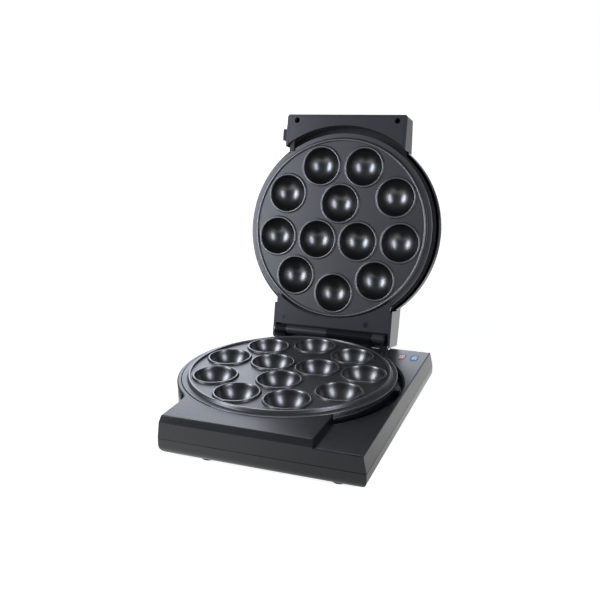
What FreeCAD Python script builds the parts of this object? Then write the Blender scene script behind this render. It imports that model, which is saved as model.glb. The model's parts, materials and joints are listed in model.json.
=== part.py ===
"""Cake pop maker: a hinged countertop cooker with two round plates of half-round bowls.

Units are millimetres. X runs to the right, the side with the low console, Y runs to the
back, where the hinge is, and Z runs up from the surface that the feet stand on. The model
is drawn about the axis of the lower plate, with the lid shut, and the lid's pieces are
then turned open about the hinge pin. Last, all of it is moved so that the origin lies
below the middle of the whole open appliance.
"""
import FreeCAD, Part
import math
import os

# ---------------------------------------------------------------- driving dimensions
WALL = 2.4                    # wall of the moulded shells
FIT = 0.3                     # ordinary clearance between pieces

# Heights of the base
FOOT_HEIGHT = 2.5             # the feet hold the bottom shell this far off the table
RIM_Z = 43.4                  # crest of the lower plate's edge above the table
RIM_GAP = 0.4                 # left between the two plates with the lid shut
PLATFORM_DROP = 3.8           # the platform and the ring round the plate, below the crest
CONSOLE_DROP = 6.9            # the low console on the right, below the platform
UPPER_DEPTH = 14.2            # the base shells meet this far below the console
WELL_DROP = 1.9               # floor of the well under the barrel, below the console
TROUGH_DROP = 8.7             # underside of the moat's floor, below the console
TROUGH_FLOOR = 2.0

# Base plan, at its top edges
LEFT_IN = 41.5                # the platform's left side, inside the drum's left
STEP_IN = 38.0                # the platform drops to the console this far inside its right
FRONT_DEPTH = 19.5            # the front lies this far before the drum
BACK_DEPTH = 7.7              # the back lies this far behind it
SIDE_DEPTH = 4.8              # the console runs this far past it on the right
NECK_FILLET = 20.0            # sweep from the platform's left side into the drum
FACET_DEPTH = 6.4             # steeper strip below the platform's front and left edges
FACET_LEAN = 1.9              # the strip leans out by this much
WALL_LEAN = 1.3               # and the wall below it by this much more
SIDE_LEAN = 3.1               # lean of the right side
BOTTOM_EDGE_R = 9.5           # roll of the bottom shell's lower edge
TOP_EDGE_R = 1.0              # roll of the outer top edges
GROOVE = 0.5                  # shadow line where the base shells meet

# Baking plates
BOWL_R = 20.0                 # inside of a bowl
BOWL_WALL = 1.6
BOWL_RIM = 2.4                # width of the raised rim round a bowl
BOWL_GAP = 0.5                # between the rims of the inner and the outer bowls
BOWL_TUCK = 0.3               # the thermostat's rim reaches this far under the inner bowls
OUTER_BOWLS = 9
INNER_BOWLS = 3
EDGE_OUT = 7.4                # foot of the raised edge, outside the outer bowls
EDGE_CREST_IN = 1.6           # crest of the edge, inside its foot
EDGE_FACE_IN = 3.4            # inner face of the edge, inside its foot
PLATE_RECESS = 2.0            # cooking face below the crest of the edge
PLATE_WEB = 2.2               # thickness of the cooking face
LIP_WIDTH = 5.1               # outer lip, outside the foot
LIP_DROP = 3.4                # lip below the crest
LIP_THICK = 1.6
SKIRT_WALL = 2.0              # locating skirt under the plate
SKIRT_DEPTH = 9.0             # from the crest down to the skirt's foot

# Heat shields, elements and what they carry
PAN_IN = 4.0                  # the pan's wall lies this far inside the plate's foot
PAN_SHEET = 0.8
PAN_SLOPE = 5.0               # chamfer round the pan's floor
PAN_FLANGE = 3.0              # the flange reaches this far outside the plate's foot
PAN_ROOM = 5.6                # from the bowls' undersides to the pan's outer bottom
ELEMENT_R = 3.3
ELEMENT_DEPTH = 16.9          # centre of the tube below the plate's crest
ELEMENT_GAP_DEG = 15.0        # the ring is open this far each side of +X
ELEMENT_BEND_R = 4.5          # bends at the ring's ends
ELEMENT_HOLE_FIT = 0.4
TERMINAL_DROP = 14.0          # length of the cold ends below the ring
CLIP_WIDTH = 6.0
CLIP_SHEET = 0.8
CLIP_FIT = 0.2
CLIP_FOOT = 4.0
CLIP_ANGLES = (70.0, 190.0, 310.0)
THERMOSTAT_R = 6.0
THERMOSTAT_BODY = 7.5
THERMOSTAT_POST_R = 3.0
THERMOSTAT_FOOT = 1.0
THERMOSTAT_TAG = (1.5, 3.0, 0.8)     # half width, reach and sheet of the tag

# Well, moat and vents of the shells
HOLE_GAP = 0.7                # the hole stands this far clear of the plate's lip
RING_WIDTH = 3.7              # ring round the hole, which is the top of the drum's wall
MOAT_WALL = 2.0
MOAT_EDGE_R = 3.0             # round of the console's edge along the moat
MOAT_RIB_ANGLE = 5.0
MOAT_RIB_WIDTH = 8.0
KEEPER_ANGLES = (62.0, 118.0)
KEEPER_WIDTH = 8.0
KEEPER_LAP = 1.8              # the keepers reach this far over the plate's lip
KEEPER_THICK = 1.1
VENT_ROWS = 8
VENT_PITCH = 15.0
VENT_LENGTH = 60.0
VENT_WIDTH = 3.0

# Hinge
HINGE_BACK = 8.5              # the pin lies this far behind the drum
HINGE_RISE = 2.0              # and this far above the platform
OPEN_DEG = 103.84             # from shut to the open stop
KNUCKLE_R = 5.0
PIN_R = 2.0
PIN_FIT = 0.05
PIN_HEAD_R = 3.4
PIN_HEAD = 1.2
BARREL_IN_LEFT = 4.0          # the barrel's ends inside the base's left and the step
BARREL_IN_RIGHT = 8.5
BARREL_SHORT = 13.0           # the short knuckle at each end
BARREL_MIDDLE = -2.2          # where the two long knuckles meet
KNUCKLE_GAP = 0.4
WELL_FRONT_Y = 60.0           # the well lies behind the drum from here
WELL_CHEEK = 0.7              # the console's top runs this far past the step beside the well
HINGE_WEB = 5.4
CHEEK_Y = (90.0, 101.0, 105.0)       # foot, crest and back of the slanted cheek by the barrel

# Lid (drawn shut)
FACE_GAP = 2.2                # the block's face stands this far above the platform
BAND_IN_FRONT = 4.5           # the block's front, inside the base's front
BAND_IN_RIGHT = 1.5           # the band's right side, inside the step
BAND_BEHIND = 10.3            # the band's back, behind the pin
BAND_OVER_DOME = 3.0          # top of the band's arch above the dome's crown
BAND_FRONT_DROP = 11.2        # top of its front and of its back, below that crown
BAND_BACK_DROP = 2.9
BAND_TOP_Y = 2.0
BAND_EDGE_R = 3.0
BLOCK_REAR_Y = -60.0          # the block lies before this, the hinge strip behind its opposite
BLOCK_ARC_GAP = 3.5           # hollow front of the grip block, outside the drum
BLOCK_ARC_WALL = 2.0
NECK_WALL = 2.0               # neck outside the heat shield's flange
STRIP_LAP = 3.6               # the hinge strip covers this much of the plate's lip
DECK_DROP = 19.2              # deck that ties neck, block and strip together, below the crown
LINER_SKIN = 2.2
LINER_FIT = 0.2
APRON_DROP = 8.0              # the apron before the barrel ends this far below the deck
DOME_OVER = 2.0               # the dome's wall, outside the drum
DOME_SKIRT_DROP = 3.2         # the dome's foot below the deck
DOME_OVER_PAN = 10.2          # the dome's crown above the upper pan
DOME_SHOULDER_R = 8.0
DOME_FALL = 10.0              # from the crown down to the shoulder
DOME_WALL = 2.0

# Latches
LATCH_ANGLE = -135.5          # lower latch, round the plate's axis
LATCH_NOSE = (1.5, 3.5)       # the nose's faces above the foot of the plate's skirt
LATCH_WINDOW = 18.0
LATCH_WINDOW_DROP = 3.0
LATCH_HEAD_WIDTH = 7.0
LATCH_STEM_WIDTH = 5.0
LATCH_OUT = 1.2
SLIDER_CLEAR = 0.15           # between the slider's stem and the wall round the block's hollow
SLIDER_LENGTH = 12.5
SLIDER_RISE = (3.2, 14.0)     # the thumb piece's edges above the block's face
SLIDER_STEM = (6.5, 10.5)     # the stem's faces above it
SLIDER_STEM_HALF = 3.7
SLIDER_TRAVEL = 3.0
SLIDER_OUT = 5.8              # how far the thumb piece stands off the block
SLIDER_PAD = (4.5, 5.0, 1.0)  # pad before, behind and under the thumb piece
FINGER_IN = (1.1, 6.0)        # the finger's sides inside the band's wall
FINGER_RISE = 3.4
FINGER_LAP = 0.6              # the finger reaches this far over the plate's lip
TOUCH_R = 0.8                 # edges that a finger touches

# Lamps, gland, screws, feet
LENS_FROM_RIGHT = (25.3, 12.1)
LENS_FROM_BACK = 21.8
LENS_WIDTH = 6.8
LENS_DEPTH = 13.0
LENS_FIT = 0.1
LENS_PROUD = 0.3
LENS_FLANGE = 1.0
LENS_FLANGE_OVER = (0.9, 1.5)
HOLDER_SHEET = 1.6
HOLDER_REACH = (13.0, 11.0, 9.0)
LAMP_R = 1.8
LAMP_LENGTH = 6.0
TERMINAL_FROM_RIGHT = 17.1
TERMINAL_Y = 36.0
TERMINAL_SIZE = (10.0, 22.0, 10.0)
TERMINAL_WELL_R = 2.0
TERMINAL_PITCH = 6.5
FUSE_R = 2.2
FUSE_LENGTH = 14.0
GLAND_FROM_RIGHT = 19.3
GLAND_RISE = 5.5
GLAND_BORE_R = 3.2
GLAND_R = 4.6
GLAND_FLANGE_R = 6.2
GLAND_OUT = 2.6
FOOT_R = 6.5
FOOT_STEM_R = 2.5
FOOT_BARB_R = 3.3
FRONT_FOOT_IN = (38.2, 24.0, 11.5)   # from the left, from the right, from the front
BACK_FOOT_LEFT = (20.0, 20.2)
BACK_FOOT_RIGHT = (12.0, 13.0)
SCREW_IN_FRONT = 12.0
SCREW_FROM_STEP = 14.5
SCREW_IN_RIGHT = 9.3
SCREW_IN_BACK = (8.0, 11.2)
CONSOLE_SCREW_Y = (-88.0, 66.0)
BLOCK_SCREW_IN = (11.4, 11.0, 6.5)
STRIP_SCREW_IN = (13.1, 28.7, 13.6)
SCREW_R = 1.45
SCREW_FIT = 0.2
SCREW_HEAD_R = 2.8
SCREW_HEAD = 2.2
SCREW_SHANK = 9.0
BLOCK_SCREW_DROP = 8.0        # seats of the lid's screws: below the deck, above the strip's face
STRIP_SCREW_RISE = 2.6
STRIP_SCREW_REACH = 2.4       # the strip's screws end this far above the deck
SCREW_SOCKET_R = 1.2
SCREW_SEAT = 3.0
PILOT_R = 1.5
BOSS_R = 4.2
SCREW_WELL_R = 3.1
SCREW_WELL_WALL = 1.6

# ---------------------------------------------------------------- derived values
MATE_Z = RIM_Z + RIM_GAP / 2
PLATFORM_Z = RIM_Z - PLATFORM_DROP
CONSOLE_Z = PLATFORM_Z - CONSOLE_DROP
FACET_Z = PLATFORM_Z - FACET_DEPTH
PARTING_Z = CONSOLE_Z - UPPER_DEPTH
WELL_FLOOR_Z = CONSOLE_Z - WELL_DROP
TROUGH_Z = CONSOLE_Z - TROUGH_DROP
TROUGH_TOP = TROUGH_Z + TROUGH_FLOOR
BOTTOM_Z = FOOT_HEIGHT
FLOOR_Z = BOTTOM_Z + WALL
SKIRT_FOOT_Z = RIM_Z - SKIRT_DEPTH
LEDGE_TOP = SKIRT_FOOT_Z - PAN_SHEET
LIP_TOP_Z = RIM_Z - LIP_DROP
LIP_UNDER_Z = LIP_TOP_Z - LIP_THICK
PAN_DEPTH = BOWL_R + BOWL_WALL + PAN_ROOM
PAN_BOTTOM = RIM_Z - PAN_DEPTH
PAN_FLOOR = PAN_BOTTOM + PAN_SHEET
ELEMENT_Z = RIM_Z - ELEMENT_DEPTH

BOWL_RIM_R = BOWL_R + BOWL_RIM
INNER_RING_R = BOWL_R + BOWL_WALL + THERMOSTAT_R - BOWL_TUCK
OUTER_RING_R = INNER_RING_R + 2 * BOWL_RIM_R + BOWL_GAP
ELEMENT_RING_R = (INNER_RING_R + OUTER_RING_R) / 2
PLATE_R = OUTER_RING_R + BOWL_R + EDGE_OUT
CREST_R = PLATE_R - EDGE_CREST_IN
EDGE_FACE_R = PLATE_R - EDGE_FACE_IN
SKIRT_R = CREST_R
LIP_R = PLATE_R + LIP_WIDTH
PAN_R = PLATE_R - PAN_IN
PAN_FLANGE_R = PLATE_R + PAN_FLANGE
LEDGE_R = PLATE_R             # bore of the drum's wall, which carries the heat shield
HOLE_R = LIP_R + HOLE_GAP
RING_IN_R = HOLE_R + MOAT_WALL
DRUM_R = HOLE_R + RING_WIDTH
MOAT_OUT_R = DRUM_R + MOAT_WALL

BASE_LEFT = LEFT_IN - DRUM_R
STEP_X = DRUM_R - STEP_IN
BASE_RIGHT = DRUM_R + SIDE_DEPTH
BASE_FRONT = -DRUM_R - FRONT_DEPTH
BASE_BACK = DRUM_R + BACK_DEPTH
HINGE_Y = DRUM_R + HINGE_BACK
HINGE_Z = PLATFORM_Z + HINGE_RISE
BARREL_LEFT = BASE_LEFT + BARREL_IN_LEFT
BARREL_RIGHT = STEP_X - BARREL_IN_RIGHT
WELL_RIGHT = STEP_X - WELL_CHEEK

BAND_LEFT = BASE_LEFT
BAND_RIGHT = STEP_X - BAND_IN_RIGHT
BAND_FRONT = BASE_FRONT + BAND_IN_FRONT
BAND_BACK = HINGE_Y + BAND_BEHIND
BLOCK_FACE_Z = PLATFORM_Z + FACE_GAP
DOME_TOP_Z = 2 * MATE_Z - PAN_BOTTOM + DOME_OVER_PAN
DECK_Z = DOME_TOP_Z - DECK_DROP
DOME_SKIRT_Z = DECK_Z - DOME_SKIRT_DROP
BAND_TOP_Z = DOME_TOP_Z + BAND_OVER_DOME
BAND_FRONT_TOP_Z = DOME_TOP_Z - BAND_FRONT_DROP
BAND_BACK_TOP_Z = DOME_TOP_Z - BAND_BACK_DROP
BLOCK_ARC_R = DRUM_R + BLOCK_ARC_GAP
NECK_R = PAN_FLANGE_R + NECK_WALL
STRIP_ARC_R = LIP_R - STRIP_LAP
DOME_R = DRUM_R + DOME_OVER
DOME_CROWN_R = ((DOME_R - DOME_SHOULDER_R) ** 2 + DOME_FALL ** 2) / (2 * DOME_FALL)

FINGER_X = (BAND_LEFT + WALL + FINGER_IN[0], BAND_LEFT + WALL + FINGER_IN[1])
BLOCK_ARC_OUT_R = BLOCK_ARC_R + BLOCK_ARC_WALL
STEM_REAR_Y = -math.sqrt(BLOCK_ARC_OUT_R ** 2 - FINGER_X[1] ** 2) - SLIDER_CLEAR
SLIDER_Y = STEM_REAR_Y - SLIDER_STEM_HALF
FINGER_Z = (BLOCK_FACE_Z + FINGER_RISE, 2 * MATE_Z - LIP_TOP_Z - FIT)
FINGER_END_Y = FINGER_LAP - math.sqrt(LIP_R ** 2 - (sum(FINGER_X) / 2) ** 2)
SLIDER_Z = (BLOCK_FACE_Z + SLIDER_RISE[0], BLOCK_FACE_Z + SLIDER_RISE[1])
STEM_Z = (BLOCK_FACE_Z + SLIDER_STEM[0], BLOCK_FACE_Z + SLIDER_STEM[1])
NOSE_Z = (SKIRT_FOOT_Z + LATCH_NOSE[0], SKIRT_FOOT_Z + LATCH_NOSE[1])
WINDOW_Z = (LEDGE_TOP - LATCH_WINDOW_DROP, LIP_UNDER_Z - 0.2)

LENS_X = (BASE_RIGHT - LENS_FROM_RIGHT[0], BASE_RIGHT - LENS_FROM_RIGHT[1])
LENS_Y = BASE_BACK - LENS_FROM_BACK
TERMINAL_X = BASE_RIGHT - TERMINAL_FROM_RIGHT
GLAND_X = BASE_RIGHT - GLAND_FROM_RIGHT
GLAND_Z = PARTING_Z + GLAND_RISE
FOOT_PLACES = (
    (BASE_LEFT + FRONT_FOOT_IN[0], BASE_FRONT + FRONT_FOOT_IN[2]),
    (BASE_RIGHT - FRONT_FOOT_IN[1], BASE_FRONT + FRONT_FOOT_IN[2]),
    (BASE_LEFT + BACK_FOOT_LEFT[0], BASE_BACK - BACK_FOOT_LEFT[1]),
    (BASE_RIGHT - BACK_FOOT_RIGHT[0], BASE_BACK - BACK_FOOT_RIGHT[1]))
BASE_SCREWS = (
    (BASE_LEFT + SCREW_IN_FRONT, BASE_FRONT + SCREW_IN_FRONT),
    (STEP_X - SCREW_FROM_STEP, BASE_FRONT + SCREW_IN_FRONT),
    (BASE_RIGHT - SCREW_IN_RIGHT, CONSOLE_SCREW_Y[0]),
    (BASE_RIGHT - SCREW_IN_RIGHT, CONSOLE_SCREW_Y[1]),
    (BASE_LEFT + SCREW_IN_BACK[0], BASE_BACK - SCREW_IN_BACK[1]))
BLOCK_SCREWS = (
    (BAND_LEFT + BLOCK_SCREW_IN[0], BAND_FRONT + BLOCK_SCREW_IN[2]),
    (BAND_RIGHT - BLOCK_SCREW_IN[1], BAND_FRONT + BLOCK_SCREW_IN[2]))
STRIP_SCREWS = (
    (BAND_LEFT + STRIP_SCREW_IN[0], HINGE_Y - STRIP_SCREW_IN[2]),
    (BAND_RIGHT - STRIP_SCREW_IN[1], HINGE_Y - STRIP_SCREW_IN[2]))

X_AXIS = FreeCAD.Vector(1, 0, 0)
Y_AXIS = FreeCAD.Vector(0, 1, 0)
Z_AXIS = FreeCAD.Vector(0, 0, 1)
ORIGIN = FreeCAD.Vector(0, 0, 0)
HINGE_POINT = FreeCAD.Vector(0, HINGE_Y, HINGE_Z)
FAR = 400.0                   # past everything
OVER = 1.0                    # cutters run this far past what they cut


# ---------------------------------------------------------------- small helpers
def box(x0, x1, y0, y1, z0, z1):
    """A box between two corners."""
    return Part.makeBox(x1 - x0, y1 - y0, z1 - z0, FreeCAD.Vector(x0, y0, z0))


def cyl(r, z0, z1, x=0.0, y=0.0):
    """An upright cylinder."""
    return Part.makeCylinder(r, z1 - z0, FreeCAD.Vector(x, y, z0), Z_AXIS)


def tube(r_in, r_out, z0, z1):
    """An upright ring about the plate's axis."""
    return cyl(r_out, z0, z1).cut(cyl(r_in, z0 - OVER, z1 + OVER))


def rod(r, x0, x1, y, z):
    """A cylinder along X."""
    return Part.makeCylinder(r, x1 - x0, FreeCAD.Vector(x0, y, z), X_AXIS)


def pulled(points, direction):
    """A closed outline of straight sides, pulled along a direction."""
    return Part.Face(Part.makePolygon(points + points[:1])).extrude(direction)


def turned(points):
    """A solid of revolution about Z from (radius, height) points."""
    corners = [FreeCAD.Vector(r, 0, z) for r, z in points]
    face = Part.Face(Part.makePolygon(corners + corners[:1]))
    return face.revolve(ORIGIN, Z_AXIS, 360)


def slab(face_edges, x0, x1):
    """A closed outline in the YZ plane, drawn at X = 0, pulled from x0 to x1."""
    face = Part.Face(Part.Wire(face_edges))
    face.translate(FreeCAD.Vector(x0, 0, 0))
    return face.extrude(FreeCAD.Vector(x1 - x0, 0, 0))


def fused(shapes):
    """One solid of several, with the seams between them taken out."""
    whole = shapes[0]
    if len(shapes) > 1:
        whole = whole.fuse(shapes[1:])
    return whole.removeSplitter()


def group(shapes):
    """Separate solids that share one node."""
    return Part.makeCompound(shapes)


def mirrored_up(shape):
    """The same piece in the lid: mirrored in the plane where the plates meet."""
    return shape.mirror(FreeCAD.Vector(0, 0, MATE_Z), Z_AXIS)


def around(shape, angle):
    """A copy turned about the plate's axis."""
    copy = shape.copy()
    copy.rotate(ORIGIN, Z_AXIS, angle)
    return copy


def line(a, b):
    """A straight edge."""
    return Part.LineSegment(a, b).toShape()


def arc(a, b, c):
    """A round edge through three points."""
    return Part.Arc(a, b, c).toShape()


def edges_where(shape, test):
    """The edges of a shape that pass a test."""
    return [edge for edge in shape.Edges if test(edge)]


def on_plan_edge(edge, z):
    """True for the edges that bound a level face at height z."""
    box_of = edge.BoundBox
    return abs(box_of.ZMin - z) < 0.01 and abs(box_of.ZMax - z) < 0.01


def is_upright(edge):
    """True for the edges that run straight up."""
    return abs(edge.tangentAt(edge.FirstParameter).z) > 0.99


# ---------------------------------------------------------------- baking plates
def bowl_centres():
    """The middle of each bowl."""
    centres = []
    for index in range(OUTER_BOWLS):
        angle = math.radians(90 + index * 360 / OUTER_BOWLS)
        centres.append((OUTER_RING_R * math.cos(angle), OUTER_RING_R * math.sin(angle)))
    for index in range(INNER_BOWLS):
        angle = math.radians(270 + index * 360 / INNER_BOWLS)
        centres.append((INNER_RING_R * math.cos(angle), INNER_RING_R * math.sin(angle)))
    return centres


def baking_plate():
    """One cast plate, bowls down: edge, lip, skirt, cooking face and the bowls in it."""
    face_top = RIM_Z - PLATE_RECESS
    face_under = face_top - PLATE_WEB
    skirt_in = SKIRT_R - SKIRT_WALL
    body = turned([
        (0, face_under), (0, face_top), (EDGE_FACE_R - 1.2, face_top),
        (EDGE_FACE_R, face_top + 0.5), (EDGE_FACE_R + 0.5, RIM_Z - 0.3),
        (EDGE_FACE_R + 0.9, RIM_Z), (CREST_R, RIM_Z),
        (CREST_R + 0.5, RIM_Z - 0.5), (PLATE_R, LIP_TOP_Z),
        (LIP_R - 0.3, LIP_TOP_Z), (LIP_R, LIP_TOP_Z - 0.3), (LIP_R, LIP_UNDER_Z),
        (SKIRT_R, LIP_UNDER_Z), (SKIRT_R, SKIRT_FOOT_Z), (skirt_in, SKIRT_FOOT_Z),
        (skirt_in, face_under)])
    cups, hollows = [], []
    rim = turned([
        (0, face_under), (BOWL_RIM_R, face_under), (BOWL_RIM_R, RIM_Z - 0.7),
        (BOWL_RIM_R - 0.7, RIM_Z), (0, RIM_Z)])
    ball = Part.makeSphere(BOWL_R + BOWL_WALL).common(cyl(FAR, -FAR, 0))
    hollow = Part.makeSphere(BOWL_R)
    lead_in = Part.makeCone(BOWL_R - 0.4, BOWL_R + 0.7, 1.1)
    for x, y in bowl_centres():
        cup = rim.copy()
        cup.translate(FreeCAD.Vector(x, y, 0))
        cups.append(cup)
        under = ball.copy()
        under.translate(FreeCAD.Vector(x, y, RIM_Z))
        cups.append(under)
        space = hollow.copy()
        space.translate(FreeCAD.Vector(x, y, RIM_Z))
        hollows.append(space)
        mouth = lead_in.copy()
        mouth.translate(FreeCAD.Vector(x, y, RIM_Z - 1.0))
        hollows.append(mouth)
    return body.fuse(cups).cut(hollows).removeSplitter()


def lower_baking_plate():
    """The lower plate, with the catch hole for the latch in its skirt."""
    half = LATCH_STEM_WIDTH / 2 + FIT
    hole = box(SKIRT_R - SKIRT_WALL - OVER, SKIRT_R + OVER, -half, half, NOSE_Z[0] - 0.2, NOSE_Z[1] + 0.2)
    return baking_plate().cut(around(hole, LATCH_ANGLE))


def upper_baking_plate():
    """The upper plate, which the hinge strip and the slider's finger hold."""
    return mirrored_up(baking_plate())


# ---------------------------------------------------------------- heat shields and elements
def element_ends():
    """The two ends of the element's ring, each with the way on into the gap."""
    ends = []
    for side in (-1, 1):
        angle = math.radians(side * ELEMENT_GAP_DEG)
        x = ELEMENT_RING_R * math.cos(angle)
        y = ELEMENT_RING_R * math.sin(angle)
        onward = FreeCAD.Vector(math.sin(angle), -math.cos(angle), 0) * side
        ends.append((FreeCAD.Vector(x, y, ELEMENT_Z), onward))
    return ends


def terminal_places():
    """The two points where the element's cold ends go down through the pan."""
    places = [point + onward * ELEMENT_BEND_R for point, onward in element_ends()]
    return [(place.x, place.y) for place in places]


def heat_shield():
    """Sheet-steel pan under the element, with a flange that the plate's skirt stands on."""
    inner = PAN_R - PAN_SHEET
    slope_top = PAN_BOTTOM + PAN_SLOPE + PAN_SHEET
    pan = turned([
        (0, PAN_BOTTOM), (inner - PAN_SLOPE, PAN_BOTTOM), (PAN_R, slope_top + 0.2),
        (PAN_R, LEDGE_TOP), (PAN_FLANGE_R, LEDGE_TOP), (PAN_FLANGE_R, SKIRT_FOOT_Z),
        (inner, SKIRT_FOOT_Z), (inner, slope_top + 0.5), (inner - PAN_SLOPE - 0.3, PAN_FLOOR),
        (0, PAN_FLOOR)])
    for x, y in terminal_places():
        pan = pan.cut(cyl(ELEMENT_R + ELEMENT_HOLE_FIT, PAN_BOTTOM - OVER, PAN_FLOOR + OVER, x, y))
    return pan


def heating_element():
    """Round sheathed element, an open ring with both ends bent down."""
    sweep = 360 - 2 * ELEMENT_GAP_DEG
    middle = FreeCAD.Vector(0, 0, ELEMENT_Z)
    ring = Part.makeTorus(ELEMENT_RING_R, ELEMENT_R, middle, Z_AXIS, 0, 360, sweep)
    ring.rotate(ORIGIN, Z_AXIS, ELEMENT_GAP_DEG)
    pieces = [ring]
    for point, onward in element_ends():
        across = Z_AXIS.cross(onward)
        turn = FreeCAD.Matrix(0, onward.x, across.x, point.x, 0, onward.y, across.y, point.y,
                              1, 0, across.z, point.z - ELEMENT_BEND_R, 0, 0, 0, 1)
        bend = Part.makeTorus(ELEMENT_BEND_R, ELEMENT_R, ORIGIN, Z_AXIS, 0, 360, 90)
        bend.Placement = FreeCAD.Placement(turn)
        pieces.append(bend)
    for x, y in terminal_places():
        pieces.append(cyl(ELEMENT_R, ELEMENT_Z - TERMINAL_DROP, ELEMENT_Z - ELEMENT_BEND_R, x, y))
    return fused(pieces)


def element_clips():
    """Spring-steel straps that hold the element to the pan."""
    inner = ELEMENT_R + CLIP_FIT
    outer = inner + CLIP_SHEET
    half = CLIP_WIDTH / 2
    start = FreeCAD.Vector(0, -half, ELEMENT_Z)
    bore_start = FreeCAD.Vector(0, -half - OVER, ELEMENT_Z)
    strap = box(-outer, outer, -half, half, PAN_FLOOR, ELEMENT_Z)
    crown = Part.makeCylinder(outer, CLIP_WIDTH, start, Y_AXIS)
    bore = Part.makeCylinder(inner, CLIP_WIDTH + 2 * OVER, bore_start, Y_AXIS)
    gap = box(-inner, inner, -half - OVER, half + OVER, PAN_FLOOR - OVER, ELEMENT_Z)
    foot_x = outer + CLIP_FOOT
    feet = box(-foot_x, foot_x, -half, half, PAN_FLOOR, PAN_FLOOR + CLIP_SHEET)
    clip = fused([strap, crown, feet]).cut(bore.fuse(gap))
    clips = []
    for angle in CLIP_ANGLES:
        one = clip.copy()
        one.translate(FreeCAD.Vector(ELEMENT_RING_R, 0, 0))
        clips.append(around(one, angle))
    return group([solid for one in clips for solid in one.Solids])


def thermostat():
    """Snap-disc thermostat on a sprung post, pressed to the middle of the plate."""
    top = RIM_Z - PLATE_RECESS - PLATE_WEB
    under = top - THERMOSTAT_BODY
    half, reach, sheet = THERMOSTAT_TAG
    body = cyl(THERMOSTAT_R, under, top)
    post = cyl(THERMOSTAT_POST_R, PAN_FLOOR, under)
    foot = cyl(THERMOSTAT_R, PAN_FLOOR, PAN_FLOOR + THERMOSTAT_FOOT)
    tag = box(-half, half, 0, THERMOSTAT_R + reach, under + 1.0, under + 1.0 + sheet)
    return fused([body, post, foot, tag])


# ---------------------------------------------------------------- base shells
def front_lean(z):
    """How far the front and the left stand out from their top edge at a height."""
    if z >= FACET_Z:
        return FACET_LEAN * (PLATFORM_Z - z) / FACET_DEPTH
    return FACET_LEAN + WALL_LEAN * (FACET_Z - z) / (FACET_Z - PARTING_Z)


def side_lean(z):
    """How far the right side stands out from the console's top edge at a height."""
    return SIDE_LEAN * (CONSOLE_Z - z) / UPPER_DEPTH


def plan_at(z, inset):
    """Left, right, front and back of the base at a height, drawn in by the inset."""
    lean = front_lean(z)
    return (BASE_LEFT - lean + inset, BASE_RIGHT + side_lean(z) - inset,
            BASE_FRONT - lean + inset, BASE_BACK - inset)


def drum_side(z0, z1, inset):
    """The drum with the sweep that leads into it from the platform's left side."""
    left = BASE_LEFT + inset
    drum_r = DRUM_R - inset
    sweep = NECK_FILLET + inset
    mid_x = BASE_LEFT - NECK_FILLET
    mid_y = -math.sqrt((DRUM_R + NECK_FILLET) ** 2 - mid_x ** 2)
    turn = math.atan2(-mid_y, -mid_x) / 2
    sweep_in = FreeCAD.Vector(left, mid_y, z0)
    sweep_mid = FreeCAD.Vector(mid_x + sweep * math.cos(turn), mid_y + sweep * math.sin(turn), z0)
    scale = drum_r / (DRUM_R + NECK_FILLET)
    sweep_out = FreeCAD.Vector(mid_x * scale, mid_y * scale, z0)
    far_left = FreeCAD.Vector(-drum_r, 0, z0)
    back = FreeCAD.Vector(0, drum_r, z0)
    inside = FreeCAD.Vector(0, mid_y, z0)
    outline = Part.Wire([arc(sweep_in, sweep_mid, sweep_out), arc(sweep_out, far_left, back),
                         line(back, inside), line(inside, sweep_in)])
    return Part.Face(outline).extrude(FreeCAD.Vector(0, 0, z1 - z0))


def drum_rolled(side, radius, z):
    """The drum's side with its outer edge at height z made round."""
    outer = edges_where(side, lambda e: on_plan_edge(e, z) and e.CenterOfMass.x < BASE_LEFT)
    return side.makeFillet(radius, outer)


def tray_body(z0, z1, inset, roll=0.0):
    """The base's plan below the parting line, drum and all, with its lower edge rolled."""
    left, right, front, back = plan_at(PARTING_Z, inset)
    block = box(left, right, front, back, z0, z1)
    side = drum_side(z0, z1, inset)
    if roll > 0:
        for along_x in (True, False):
            rolled = box(left, right, front, back, z0, z1)
            low = edges_where(rolled, lambda e: on_plan_edge(e, z0)
                              and (abs(e.tangentAt(e.FirstParameter).x) > 0.99) == along_x)
            block = block.common(rolled.makeFillet(roll, low))
        side = drum_rolled(side, roll, z0)
    return fused([block, side])


def upper_block(z0, z1, inset):
    """The straight-sided part of the base above the parting line, with its walls leaning."""
    heights = [z0, FACET_Z, z1] if z0 < FACET_Z < z1 else [z0, z1]
    plans = [plan_at(z, inset) for z in heights]
    back = BASE_BACK - inset
    side_view = [FreeCAD.Vector(-FAR, plan[2], z) for plan, z in zip(plans, heights)]
    side_view += [FreeCAD.Vector(-FAR, back, z1), FreeCAD.Vector(-FAR, back, z0)]
    front_view = [FreeCAD.Vector(plan[0], -FAR, z) for plan, z in zip(plans, heights)]
    front_view += [FreeCAD.Vector(plan[1], -FAR, z) for plan, z in zip(plans[::-1], heights[::-1])]
    block = pulled(side_view, X_AXIS * 2 * FAR).common(pulled(front_view, Y_AXIS * 2 * FAR))
    return block.removeSplitter()


def upper_body(z0, z1, inset):
    """The base above the parting line, drum and all, drawn in by the inset."""
    return fused([upper_block(z0, z1, inset), drum_side(z0, z1, inset)])


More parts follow.
